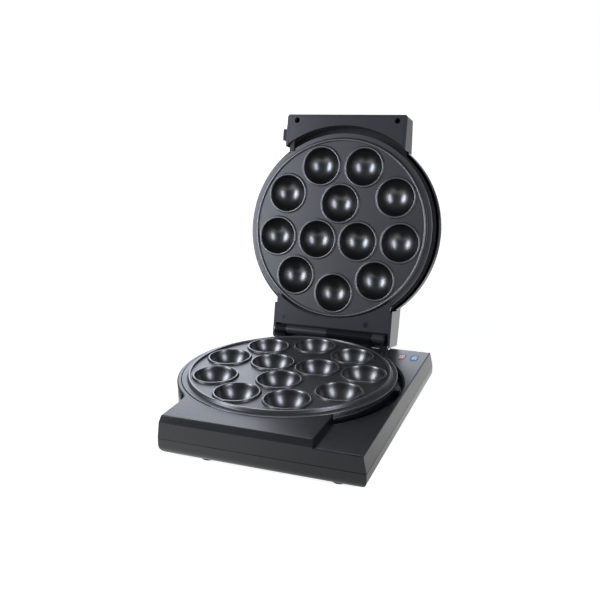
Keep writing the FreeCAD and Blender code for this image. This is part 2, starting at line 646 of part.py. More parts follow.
def base_bottom_shell():
    """Bottom tray: rolled lower edge, screw wells, vent slots and foot holes."""
    outer = tray_body(BOTTOM_Z, PARTING_Z, 0, BOTTOM_EDGE_R)
    inner = tray_body(FLOOR_Z, PARTING_Z + OVER, WALL, BOTTOM_EDGE_R - WALL)
    shell = outer.cut(inner)
    posts, holes = [], []
    for x, y in BASE_SCREWS:
        posts.append(cyl(SCREW_WELL_R + SCREW_WELL_WALL, BOTTOM_Z + 1, PARTING_Z - 1, x, y))
        holes.append(cyl(SCREW_WELL_R, BOTTOM_Z - OVER, PARTING_Z - SCREW_SEAT, x, y))
        holes.append(cyl(SCREW_R + SCREW_FIT, BOTTOM_Z, PARTING_Z, x, y))
    for x, y in FOOT_PLACES:
        holes.append(cyl(FOOT_STEM_R, BOTTOM_Z - OVER, FLOOR_Z + OVER, x, y))
    for row in range(VENT_ROWS):
        y = (row - (VENT_ROWS - 1) / 2) * VENT_PITCH
        slot = box(-VENT_LENGTH / 2, VENT_LENGTH / 2, y - VENT_WIDTH / 2, y + VENT_WIDTH / 2,
                   BOTTOM_Z - OVER, FLOOR_Z + OVER)
        holes.append(slot.makeFillet(VENT_WIDTH / 2 - 0.1, edges_where(slot, is_upright)))
    groove = tray_body(PARTING_Z - GROOVE, PARTING_Z + OVER, -OVER)
    holes.append(groove.cut(tray_body(PARTING_Z - 2 * OVER, PARTING_Z + 2 * OVER, GROOVE)))
    return shell.fuse(posts).cut(holes).removeSplitter()


def right_of_step(z0, z1):
    """Everything to the right of the step."""
    return box(STEP_X, FAR, -FAR, FAR, z0, z1)


def outer_top_edge(edge):
    """True for the convex edges round the platform's and the console's top."""
    if on_plan_edge(edge, PLATFORM_Z):
        return True
    return on_plan_edge(edge, CONSOLE_Z) and edge.BoundBox.XMax > STEP_X + 1


def moat_edge_cutter():
    """Takes the corner off the console's edge along the moat and leaves it round."""
    low = CONSOLE_Z - MOAT_EDGE_R
    out = DRUM_R + MOAT_EDGE_R
    middle = MOAT_EDGE_R * math.sqrt(0.5)
    corners = [FreeCAD.Vector(DRUM_R - OVER, 0, CONSOLE_Z + OVER), FreeCAD.Vector(DRUM_R - OVER, 0, low),
               FreeCAD.Vector(DRUM_R, 0, low), FreeCAD.Vector(out, 0, CONSOLE_Z),
               FreeCAD.Vector(out, 0, CONSOLE_Z + OVER)]
    bend = FreeCAD.Vector(out - middle, 0, low + middle)
    wire = Part.Wire([line(corners[0], corners[1]), line(corners[1], corners[2]),
                      arc(corners[2], bend, corners[3]), line(corners[3], corners[4]),
                      line(corners[4], corners[0])])
    ring = Part.Face(wire).revolve(ORIGIN, Z_AXIS, 360)
    return ring.common(right_of_step(0, FAR))


def hinge_cheek():
    """Slanted cheek that rises from the well's floor beside the barrel's right end."""
    foot_y, crest_y, back_y = CHEEK_Y
    crest = PLATFORM_Z + 0.4
    outline = [(foot_y, WELL_FLOOR_Z - OVER), (foot_y, CONSOLE_Z), (crest_y, crest),
               (back_y, crest), (back_y, WELL_FLOOR_Z - OVER)]
    points = [FreeCAD.Vector(BARREL_RIGHT + 0.6, y, z) for y, z in outline]
    return pulled(points, X_AXIS * (STEP_X - BARREL_RIGHT - 0.6))


def base_top_shell():
    """Top shell: platform, ring, moat, console, hinge well and the base's knuckles."""
    block = upper_block(PARTING_Z, PLATFORM_Z, 0)
    block = block.cut(right_of_step(CONSOLE_Z, PLATFORM_Z + OVER))
    block = block.makeFillet(TOP_EDGE_R, edges_where(block, outer_top_edge))
    side = drum_rolled(drum_side(PARTING_Z, PLATFORM_Z, 0), TOP_EDGE_R, PLATFORM_Z)
    body = fused([block, side])
    hollow = upper_body(PARTING_Z - OVER, PLATFORM_Z - WALL, WALL)
    hollow = hollow.cut(right_of_step(CONSOLE_Z - WALL, PLATFORM_Z))
    hollow = hollow.cut(box(STEP_X - WALL, STEP_X, -FAR, FAR, CONSOLE_Z - WALL, PLATFORM_Z))
    shell = body.cut(hollow)
    # the round well: drum wall, moat floor and moat wall
    left_of_step = box(-FAR, STEP_X, -FAR, FAR, 0, FAR)
    ring = tube(LEDGE_R, RING_IN_R, TROUGH_Z, PLATFORM_Z).common(left_of_step)
    ring_right = tube(LEDGE_R, MOAT_OUT_R, TROUGH_Z, CONSOLE_Z).common(body)
    lap = box(STEP_X - WALL, STEP_X, -FAR, FAR, TROUGH_Z, PLATFORM_Z).common(body)
    lap = lap.common(tube(LEDGE_R, MOAT_OUT_R, TROUGH_Z, PLATFORM_Z))
    under = WELL_FLOOR_Z - WALL
    well_floor = box(BASE_LEFT - WALL, STEP_X + WALL, WELL_FRONT_Y, BASE_BACK, under, WELL_FLOOR_Z)
    well_cheek = box(WELL_RIGHT, STEP_X + WALL, WELL_FRONT_Y, BASE_BACK, under, CONSOLE_Z)
    well = well_floor.fuse(well_cheek).common(body).cut(cyl(LEDGE_R, 0, FAR))
    shell = shell.fuse([ring, ring_right, lap, well])
    shell = shell.cut(cyl(PAN_FLANGE_R, LEDGE_TOP, FAR))
    shell = shell.cut(cyl(LEDGE_R, 0, FAR))
    shell = shell.cut(tube(PAN_FLANGE_R, HOLE_R, TROUGH_TOP, FAR))
    shell = shell.cut(tube(PAN_FLANGE_R, DRUM_R, TROUGH_TOP, FAR).common(right_of_step(0, FAR)))
    # hinge well behind the drum, open to the back and to the left
    for right, floor, top in ((WELL_RIGHT, WELL_FLOOR_Z, CONSOLE_Z), (STEP_X, CONSOLE_Z, FAR)):
        behind = box(BASE_LEFT - FAR, right, WELL_FRONT_Y, BASE_BACK + OVER, floor, top)
        shell = shell.cut(behind.cut(cyl(DRUM_R, 0, FAR)))
    # screw bosses, rib across the moat, plate keepers
    extras = [hinge_cheek()]
    for x, y in BASE_SCREWS:
        top = CONSOLE_Z if x > STEP_X else PLATFORM_Z
        if x < STEP_X and y > WELL_FRONT_Y:
            top = WELL_FLOOR_Z
        boss = cyl(BOSS_R, PARTING_Z - 1, top - WALL + 0.5, x, y)
        extras.append(boss.common(upper_body(PARTING_Z - 1, top, 0.5)))
    half = MOAT_RIB_WIDTH / 2
    rib = box(PAN_FLANGE_R - 1, DRUM_R + 0.5, -half, half, TROUGH_Z, LEDGE_TOP)
    extras.append(around(rib, MOAT_RIB_ANGLE).common(cyl(DRUM_R + 1, 0, CONSOLE_Z)))
    half = KEEPER_WIDTH / 2
    low = LIP_TOP_Z + FIT
    for angle in KEEPER_ANGLES:
        keeper = box(LIP_R - KEEPER_LAP, DRUM_R - 0.5, -half, half, low, low + KEEPER_THICK)
        root = box(HOLE_R, DRUM_R - 0.5, -half, half, PLATFORM_Z - 2, low + KEEPER_THICK)
        extras.append(around(fused([keeper, root]), angle))
    # base knuckles on webs that rise from the well's floor
    for x0, x1 in base_knuckle_spans():
        extras.append(rod(KNUCKLE_R, x0, x1, HINGE_Y, HINGE_Z))
        extras.append(box(x0, x1, HINGE_Y - KNUCKLE_R - 1.0, HINGE_Y - 2.8, WELL_FLOOR_Z - 1, HINGE_Z))
    shell = shell.fuse(extras)
    holes = [rod(PIN_R + PIN_FIT, BARREL_LEFT - OVER, BARREL_RIGHT + OVER, HINGE_Y, HINGE_Z)]
    for x, y in BASE_SCREWS:
        holes.append(cyl(PILOT_R, PARTING_Z - 2, PARTING_Z + SCREW_SHANK, x, y))
    half_x = LENS_WIDTH / 2 + LENS_FIT
    half_y = LENS_DEPTH / 2 + LENS_FIT
    for x in LENS_X:
        holes.append(box(x - half_x, x + half_x, LENS_Y - half_y, LENS_Y + half_y,
                         CONSOLE_Z - WALL - OVER, CONSOLE_Z + OVER))
    gland_start = FreeCAD.Vector(GLAND_X, BASE_BACK - 2 * WALL, GLAND_Z)
    holes.append(Part.makeCylinder(GLAND_R, 4 * WALL, gland_start, Y_AXIS))
    half = LATCH_WINDOW / 2
    window = box(PAN_FLANGE_R + 1, DRUM_R + NECK_FILLET / 2, -half, half, WINDOW_Z[0], WINDOW_Z[1])
    holes.append(around(window, LATCH_ANGLE))
    holes.append(moat_edge_cutter())
    return shell.cut(holes)


def base_knuckle_spans():
    """X ranges of the base's knuckles."""
    right = BARREL_RIGHT - BARREL_SHORT - KNUCKLE_GAP
    return ((BARREL_LEFT, BARREL_LEFT + BARREL_SHORT), (BARREL_MIDDLE, right))


def lid_knuckle_spans():
    """X ranges of the lid's knuckles."""
    left = BARREL_LEFT + BARREL_SHORT + KNUCKLE_GAP
    return ((left, BARREL_MIDDLE - KNUCKLE_GAP), (BARREL_RIGHT - BARREL_SHORT, BARREL_RIGHT))


# ---------------------------------------------------------------- hinge pin
def hinge_pin():
    """Steel pin through all the knuckles, with a head at the left end."""
    pin = rod(PIN_R, BARREL_LEFT, BARREL_RIGHT - 0.5, HINGE_Y, HINGE_Z)
    head = rod(PIN_HEAD_R, BARREL_LEFT - PIN_HEAD, BARREL_LEFT, HINGE_Y, HINGE_Z)
    return fused([pin, head])


# ---------------------------------------------------------------- lid
def band_outline(inset, bottom):
    """Side view of the band, drawn in by the inset, open at the bottom height given."""
    front = BAND_FRONT + inset
    back = BAND_BACK - inset
    low_f = FreeCAD.Vector(0, front, bottom)
    top_f = FreeCAD.Vector(0, front, BAND_FRONT_TOP_Z - inset)
    top_m = FreeCAD.Vector(0, BAND_TOP_Y, BAND_TOP_Z - inset)
    top_b = FreeCAD.Vector(0, back, BAND_BACK_TOP_Z - inset)
    low_b = FreeCAD.Vector(0, back, bottom)
    return [line(low_f, top_f), arc(top_f, top_m, top_b), line(top_b, low_b), line(low_b, low_f)]


def dome_solid(grow):
    """The dome as a full solid, grown by a clearance: wall, round shoulder, low crown."""
    r = DOME_R + grow
    shoulder = DOME_SHOULDER_R + grow
    crown = DOME_CROWN_R + grow
    crown_mid = DOME_TOP_Z - DOME_CROWN_R
    across = DOME_R - DOME_SHOULDER_R
    rise = math.sqrt((DOME_CROWN_R - DOME_SHOULDER_R) ** 2 - across ** 2)
    shoulder_mid = crown_mid + rise
    meet = math.atan2(across, rise)
    halfway = (math.pi / 2 + meet) / 2
    low = FreeCAD.Vector(r, 0, shoulder_mid)
    bend = FreeCAD.Vector(across + shoulder * math.sin(halfway), 0,
                          shoulder_mid + shoulder * math.cos(halfway))
    high = FreeCAD.Vector(crown * math.sin(meet), 0, crown_mid + crown * math.cos(meet))
    middle = FreeCAD.Vector(crown * math.sin(meet / 2), 0, crown_mid + crown * math.cos(meet / 2))
    apex = FreeCAD.Vector(0, 0, crown_mid + crown)
    foot = FreeCAD.Vector(r, 0, 0)
    wire = Part.Wire([line(ORIGIN, foot), line(foot, low), arc(low, bend, high), arc(high, middle, apex),
                      line(apex, ORIGIN)])
    return Part.Face(wire).revolve(ORIGIN, Z_AXIS, 360)


def lid_dome():
    """Round cover of the lid, notched where the block and the strip join the liner."""
    shell = dome_solid(0).cut(dome_solid(-DOME_WALL))
    shell = shell.cut(cyl(FAR, -OVER, DOME_SKIRT_Z))
    notch = box(BAND_LEFT + WALL, BAND_RIGHT - WALL, -FAR, FAR, 0, DECK_Z + WALL + 0.4)
    return shell.cut(notch.cut(cyl(DOME_R - DOME_WALL - 5, 0, FAR)))


def lid_band():
    """Grip block, bridge over the dome and hinge strip, as one moulded cover."""
    solid = slab(band_outline(0, BLOCK_FACE_Z), BAND_LEFT, BAND_RIGHT)

    outer = edges_where(solid, lambda e: is_upright(e) or e.CenterOfMass.z > BAND_FRONT_TOP_Z - 1)
    solid = solid.makeFillet(BAND_EDGE_R, outer)
    hollow = slab(band_outline(WALL, BLOCK_FACE_Z - OVER), BAND_LEFT + WALL, BAND_RIGHT - WALL)
    band = solid.cut(hollow).cut(dome_solid(FIT))
    before, behind, under = SLIDER_PAD
    pad = box(BAND_LEFT - under, BAND_LEFT + 0.5, SLIDER_Y - SLIDER_LENGTH / 2 - before,
              SLIDER_Y + SLIDER_LENGTH / 2 + behind, SLIDER_Z[0] - 1.5, SLIDER_Z[1] + 1.5)
    post_foot = DECK_Z - 2 * SCREW_SEAT
    posts = []
    for x, y in BLOCK_SCREWS:
        posts.append(cyl(BOSS_R, post_foot, BAND_FRONT_TOP_Z, x, y).common(solid))
    for x, y in STRIP_SCREWS:
        post = cyl(BOSS_R, post_foot, BAND_BACK_TOP_Z + 2, x, y).common(solid)
        posts.append(post.cut(cyl(DOME_R + FIT, 0, FAR)))
    band = band.fuse([pad] + posts)
    holes = []
    for x, y in BLOCK_SCREWS + STRIP_SCREWS:
        holes.append(cyl(PILOT_R, post_foot - OVER, DECK_Z + 4, x, y))
    slot_y0 = SLIDER_Y - SLIDER_STEM_HALF - SLIDER_TRAVEL - FIT
    holes.append(box(BAND_LEFT - 2, BAND_LEFT + WALL + OVER, slot_y0, SLIDER_Y + SLIDER_STEM_HALF + FIT,
                     STEM_Z[0] - FIT, STEM_Z[1] + FIT))
    return band.cut(holes).removeSplitter()


def lid_liner():
    """Inner moulding: block face, neck round the upper plate, deck, hinge strip, knuckles."""
    gap = WALL + LINER_FIT
    x0, x1 = BAND_LEFT + gap, BAND_RIGHT - gap
    y0, y1 = BAND_FRONT + gap, BAND_BACK - gap
    face_top = BLOCK_FACE_Z + LINER_SKIN
    deck_top = DECK_Z + 2
    strip_back = HINGE_Y - KNUCKLE_R - 1.6
    front = box(x0, x1, y0, BLOCK_REAR_Y, 0, FAR)
    rear = box(x0, x1, -BLOCK_REAR_Y, y1, 0, FAR)
    block_face = box(x0, x1, y0, BLOCK_REAR_Y, BLOCK_FACE_Z, face_top).cut(cyl(BLOCK_ARC_R, 0, FAR))
    block_wall = tube(BLOCK_ARC_R, BLOCK_ARC_OUT_R, BLOCK_FACE_Z, deck_top).common(front)
    deck = tube(LEDGE_R - 1, NECK_R + 1.8, DECK_Z, deck_top)
    deck_front = tube(NECK_R, BLOCK_ARC_OUT_R, DECK_Z, deck_top).common(front)
    pan_seat = 2 * MATE_Z - LEDGE_TOP
    neck = tube(LEDGE_R, NECK_R, pan_seat, DECK_Z + 1)
    lip_back = 2 * MATE_Z - LIP_UNDER_Z
    neck_edge = tube(PAN_FLANGE_R + FIT, NECK_R, lip_back + 0.2, pan_seat + 0.5)
    strip_face = box(x0, x1, -BLOCK_REAR_Y, strip_back, BLOCK_FACE_Z, face_top)
    strip_face = strip_face.cut(cyl(STRIP_ARC_R, 0, FAR))
    strip_wall = tube(HOLE_R, RING_IN_R, BLOCK_FACE_Z, deck_top).common(rear)
    apron = box(x0, x1, strip_back - LINER_SKIN, strip_back, BLOCK_FACE_Z, DECK_Z - APRON_DROP)
    roof_z = HINGE_Z + KNUCKLE_R + 1.6
    roof = box(x0, x1, strip_back - LINER_SKIN, y1, roof_z, roof_z + LINER_SKIN)
    pieces = [block_face, block_wall, deck, deck_front, neck, neck_edge, strip_face, strip_wall,
              apron, roof]
    for a, b in lid_knuckle_spans():
        pieces.append(rod(KNUCKLE_R, a, b, HINGE_Y, HINGE_Z))
        pieces.append(box(a, b, HINGE_Y - HINGE_WEB / 2, HINGE_Y + HINGE_WEB / 2, HINGE_Z, roof_z + 1))
    inside = box(x0, x1, y0, y1, 0, FAR)
    for x, y in BLOCK_SCREWS + STRIP_SCREWS:
        tower = cyl(SCREW_WELL_R + 1.5, BLOCK_FACE_Z, DECK_Z - 2 * SCREW_SEAT, x, y)
        pieces.append(tower.common(inside))
    liner = pieces[0].fuse(pieces[1:])
    holes = [rod(PIN_R + PIN_FIT, BARREL_LEFT - OVER, BARREL_RIGHT + OVER, HINGE_Y, HINGE_Z)]
    for x, y in BLOCK_SCREWS:
        holes.append(cyl(SCREW_WELL_R, BLOCK_FACE_Z - OVER, DECK_Z - BLOCK_SCREW_DROP, x, y))
        holes.append(cyl(SCREW_R + SCREW_FIT, BLOCK_FACE_Z, DECK_Z, x, y))
    for x, y in STRIP_SCREWS:
        holes.append(cyl(SCREW_WELL_R, BLOCK_FACE_Z - OVER, BLOCK_FACE_Z + STRIP_SCREW_RISE, x, y))
        holes.append(cyl(SCREW_R + SCREW_FIT, BLOCK_FACE_Z, DECK_Z, x, y))
    room = FIT + LINER_FIT
    holes.append(box(FINGER_X[0] - room, FINGER_X[1] + room, SLIDER_Y - 4 - SLIDER_TRAVEL - room,
                     FINGER_END_Y + room, FINGER_Z[0] - room, FINGER_Z[1] + room))
    return liner.cut(holes).removeSplitter()


def upper_release_slider():
    """Thumb slider in the left of the grip block, with the finger that holds the plate."""
    outer = BAND_LEFT - SLIDER_OUT
    half = SLIDER_STEM_HALF
    front = SLIDER_Y - half
    thumb = box(outer, BAND_LEFT - 1.2, SLIDER_Y - SLIDER_LENGTH / 2, SLIDER_Y + SLIDER_LENGTH / 2,
                SLIDER_Z[0], SLIDER_Z[1])
    thumb = thumb.makeFillet(TOUCH_R, edges_where(thumb, lambda e: e.CenterOfMass.x < outer + 0.1))
    stem = box(BAND_LEFT - 2, FINGER_X[1], front, SLIDER_Y + half, STEM_Z[0], STEM_Z[1])
    drop = box(FINGER_X[0], FINGER_X[1], front, SLIDER_Y + half, FINGER_Z[0], STEM_Z[1])
    finger = box(FINGER_X[0], FINGER_X[1], front, FINGER_END_Y, FINGER_Z[0], FINGER_Z[1])
    return fused([thumb, stem, drop, finger])


# ---------------------------------------------------------------- lower latch
def lower_plate_latch():
    """Sprung latch: a head to pull in the drum's window and a nose in the plate's skirt."""
    half = LATCH_STEM_WIDTH / 2
    head_half = LATCH_HEAD_WIDTH / 2
    reach = DRUM_R + LATCH_OUT
    stem = box(SKIRT_R - SKIRT_WALL + 0.4, DRUM_R - 2, -half, half, NOSE_Z[0], NOSE_Z[1])
    head = box(HOLE_R + 0.6, reach, -head_half, head_half, WINDOW_Z[0] + 0.4, WINDOW_Z[1] - 0.4)
    head = head.makeFillet(TOUCH_R, edges_where(head, lambda e: e.CenterOfMass.x > reach - 0.1))
    return around(fused([stem, head]), LATCH_ANGLE)


# ---------------------------------------------------------------- small pieces
def lens(x):
    """One lamp lens with a flange under the console's skin."""
    half_x = LENS_WIDTH / 2
    half_y = LENS_DEPTH / 2
    over_x, over_y = LENS_FLANGE_OVER
    under = CONSOLE_Z - WALL
    low = under - LENS_FLANGE
    top = CONSOLE_Z + LENS_PROUD
    window = box(x - half_x, x + half_x, LENS_Y - half_y, LENS_Y + half_y, low, top)
    window = window.makeFillet(LENS_PROUD * 0.8, edges_where(window, lambda e: on_plan_edge(e, top)))
    flange = box(x - half_x - over_x, x + half_x + over_x, LENS_Y - half_y - over_y,
                 LENS_Y + half_y + over_y, low, under)
    return fused([window, flange])


def lamp_holder():
    """Bridge under the lenses that carries the two neon lamps."""
    under = CONSOLE_Z - WALL - LENS_FLANGE
    mid = sum(LENS_X) / 2
    left, right, deep = HOLDER_REACH
    plate = box(mid - left, mid + right, LENS_Y - deep, LENS_Y + deep, under - HOLDER_SHEET, under)
    lamps = [cyl(LAMP_R, under - 1 - LAMP_LENGTH, under - 1, x, LENS_Y) for x in LENS_X]
    legs = [box(mid - left, mid + 1, LENS_Y + side * 8 - 1, LENS_Y + side * 8 + 1, FLOOR_Z, under - 1)
            for side in (-1, 1)]
    return fused([plate] + lamps + legs)


def cord_gland():
    """Grommet in the rear wall where the mains lead goes in."""
    back = BASE_BACK
    inner = back - WALL
    outline = [(GLAND_BORE_R, inner - 2.4), (GLAND_R + 1.0, inner - 2.4), (GLAND_R + 1.0, inner),
               (GLAND_R, inner), (GLAND_R, back), (GLAND_FLANGE_R, back), (GLAND_FLANGE_R, back + 1.0),
               (GLAND_R + 0.4, back + GLAND_OUT), (GLAND_BORE_R, back + GLAND_OUT)]
    corners = [FreeCAD.Vector(r, y, 0) for r, y in outline]
    ring = Part.Face(Part.makePolygon(corners + corners[:1])).revolve(ORIGIN, Y_AXIS, 360)
    ring.translate(FreeCAD.Vector(GLAND_X, 0, GLAND_Z))
    return ring


def terminal_block():
    """Ceramic terminal block on the floor of the console."""
    width, length, height = TERMINAL_SIZE
    x, y = TERMINAL_X, TERMINAL_Y
    block = box(x, x + width, y, y + length, FLOOR_Z, FLOOR_Z + height)
    wells = [cyl(TERMINAL_WELL_R, FLOOR_Z + height / 2, FLOOR_Z + height + OVER, x + width / 2,
                 y + length / 2 + TERMINAL_PITCH * side) for side in (-1, 0, 1)]
    return block.cut(wells)


def thermal_fuse():
    """Thermal fuse clipped to the side of the terminal block."""
    start = FreeCAD.Vector(TERMINAL_X - FUSE_R - FIT, TERMINAL_Y + 6, FLOOR_Z + FUSE_R)
    return Part.makeCylinder(FUSE_R, FUSE_LENGTH, start, Y_AXIS)


def screw(x, y, head_z, length):
    """One self-tapping screw, driven upwards."""
    head = cyl(SCREW_HEAD_R, 0, SCREW_HEAD).cut(cyl(SCREW_SOCKET_R, -OVER, SCREW_SOCKET_R))
    shank = cyl(SCREW_R, SCREW_HEAD, SCREW_HEAD + length)
    whole = fused([head, shank])
    whole.translate(FreeCAD.Vector(x, y, head_z))
    return whole


def base_screws():
    """Screws that hold the base shells together."""
    head_z = PARTING_Z - SCREW_SEAT - SCREW_HEAD
    return group([screw(x, y, head_z, SCREW_SHANK) for x, y in BASE_SCREWS])


def lid_screws():
    """Screws in the grip block and in the hinge strip."""
    deep_z = DECK_Z - BLOCK_SCREW_DROP - SCREW_HEAD
    deep = [screw(x, y, deep_z, SCREW_SHANK) for x, y in BLOCK_SCREWS]
    long_z = BLOCK_FACE_Z + STRIP_SCREW_RISE
    shank = DECK_Z + STRIP_SCREW_REACH - long_z
    return group(deep + [screw(x, y, long_z - SCREW_HEAD, shank) for x, y in STRIP_SCREWS])


def rubber_feet():
    """Four push-in feet."""
    foot = turned([(0, 0), (FOOT_R - 0.8, 0), (FOOT_R, 0.8), (FOOT_R, FOOT_HEIGHT),
                   (FOOT_STEM_R, FOOT_HEIGHT), (FOOT_STEM_R, FLOOR_Z), (FOOT_BARB_R, FLOOR_Z),
                   (FOOT_STEM_R - 0.3, FLOOR_Z + 1.6), (0, FLOOR_Z + 1.6)])
    feet = []
    for x, y in FOOT_PLACES:
        one = foot.copy()
        one.translate(FreeCAD.Vector(x, y, 0))
        feet.append(one)
    return group(feet)


# ---------------------------------------------------------------- assembly
def base_pieces():
    """Every piece of the base, by node name."""
    return {
        "base_bottom_shell": base_bottom_shell(),
        "base_top_shell": base_top_shell(),
        "rubber_feet": rubber_feet(),
        "base_screws": base_screws(),
        "lower_heat_shield": heat_shield(),
        "lower_heating_element": heating_element(),
        "lower_element_clips": element_clips(),
        "lower_thermostat": thermostat(),
        "lower_baking_plate": lower_baking_plate(),
        "lower_plate_latch": lower_plate_latch(),
        "heating_lamp_lens": lens(LENS_X[0]),
        "ready_lamp_lens": lens(LENS_X[1]),
        "lamp_holder": lamp_holder(),
        "terminal_block": terminal_block(),
        "thermal_fuse": thermal_fuse(),
        "cord_gland": cord_gland(),
        "hinge_pin": hinge_pin(),
    }


def lid_pieces():
    """Every piece of the lid, shut, by node name."""
    return {
        "lid_band": lid_band(),
        "lid_dome": lid_dome(),
        "lid_liner": lid_liner(),
        "upper_heat_shield": mirrored_up(heat_shield()),
        "upper_heating_element": mirrored_up(heating_element()),
        "upper_element_clips": mirrored_up(element_clips()),
        "upper_thermostat": mirrored_up(thermostat()),
        "upper_baking_plate": upper_baking_plate(),
        "upper_plate_slider": upper_release_slider(),
        "lid_screws": lid_screws(),
    }


def main():
    """Build all the pieces, open the lid, set the origin and write one file for each."""
    os.makedirs("parts", exist_ok=True)
    pieces = base_pieces()
    for name, shape in lid_pieces().items():
        shape.rotate(HINGE_POINT, X_AXIS, -OPEN_DEG)
        pieces[name] = shape
    whole = Part.makeCompound(list(pieces.values())).optimalBoundingBox(False)
    shift = FreeCAD.Vector(-(whole.XMin + whole.XMax) / 2, -(whole.YMin + whole.YMax) / 2, 0)
    for name, shape in pieces.items():
        shape.translate(shift)
        solids = shape.Solids
        print(name, len(solids), "valid" if shape.isValid() else "INVALID", round(shape.Volume, 1))
        shape.exportStep("parts/" + name + ".step")
    print("origin shift", round(shift.x, 4), round(shift.y, 4))
    print("hinge point", round(shift.x, 3), round(HINGE_Y + shift.y, 4), round(HINGE_Z, 4))
    print("size", round(whole.XLength, 1), round(whole.YLength, 1), round(whole.ZLength, 1))


main()
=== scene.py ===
"""Looks for a cake pop maker that stands open: finishes, hand-made pieces, light and camera.

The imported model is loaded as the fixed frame. Pieces that need softer or finer forms than the
frame gives are modelled here and stand in for their nodes. Every piece and every node gets a
procedural finish. All sizes are in metres, in the frame's own coordinates.
"""
import json
import logging
import math
from dataclasses import dataclass, field
from enum import Enum
from typing import Any, Dict, List, Optional, Sequence, Tuple, Union

import bpy
from mathutils import Matrix, Vector


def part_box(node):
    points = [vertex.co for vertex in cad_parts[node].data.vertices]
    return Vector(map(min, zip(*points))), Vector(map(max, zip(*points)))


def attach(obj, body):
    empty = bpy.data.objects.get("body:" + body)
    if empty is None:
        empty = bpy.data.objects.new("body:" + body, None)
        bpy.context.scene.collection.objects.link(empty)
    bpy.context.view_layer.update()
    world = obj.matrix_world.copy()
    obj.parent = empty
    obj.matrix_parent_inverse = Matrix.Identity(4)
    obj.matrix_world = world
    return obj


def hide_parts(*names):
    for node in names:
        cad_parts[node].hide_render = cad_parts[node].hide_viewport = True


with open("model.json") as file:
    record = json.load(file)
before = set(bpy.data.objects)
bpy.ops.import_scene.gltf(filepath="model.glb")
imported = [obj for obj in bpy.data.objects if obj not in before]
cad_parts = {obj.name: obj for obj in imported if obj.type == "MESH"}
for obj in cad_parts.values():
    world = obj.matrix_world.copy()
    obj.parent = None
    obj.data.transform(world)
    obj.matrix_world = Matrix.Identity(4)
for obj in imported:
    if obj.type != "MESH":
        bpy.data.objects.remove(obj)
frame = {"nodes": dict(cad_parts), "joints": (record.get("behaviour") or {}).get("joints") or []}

LOG = logging.getLogger("cake_pop_maker")
Colour = Tuple[float, float, float]
Point = Tuple[float, float, float]
MM = 0.001


# ------------------------------------------------------------------ shader building
class Wire:
    """A node's output socket that can be used in plain sums."""

    def __init__(self, graph: "Graph", socket: bpy.types.NodeSocket) -> None:
        """Keep the socket and the graph it belongs to.

        Args:
            graph: the graph that holds the socket's node.
            socket: the output socket.
        """
        self.graph = graph
        self.socket = socket

    def _sum(self, operation: str, first: Any, second: Any) -> "Wire":
        """Add one Math node."""
        return self.graph.node("ShaderNodeMath", {"operation": operation}, {0: first, 1: second})

    def __add__(self, other: Any) -> "Wire":
        """This plus other."""
        return self._sum("ADD", self, other)

    def __radd__(self, other: Any) -> "Wire":
        """Other plus this."""
        return self._sum("ADD", other, self)

    def __sub__(self, other: Any) -> "Wire":
        """This minus other."""
        return self._sum("SUBTRACT", self, other)

    def __rsub__(self, other: Any) -> "Wire":
        """Other minus this."""
        return self._sum("SUBTRACT", other, self)

    def __mul__(self, other: Any) -> "Wire":
        """This times other."""
        return self._sum("MULTIPLY", self, other)

    def __rmul__(self, other: Any) -> "Wire":
        """Other times this."""
        return self._sum("MULTIPLY", other, self)

    def __truediv__(self, other: Any) -> "Wire":
        """This over other."""
        return self._sum("DIVIDE", self, other)

    def at_least(self, other: Any) -> "Wire":
        """The larger of this and other."""
        return self._sum("MAXIMUM", self, other)

    def power(self, other: Any) -> "Wire":
        """This to the power of other."""
        return self._sum("POWER", self, other)


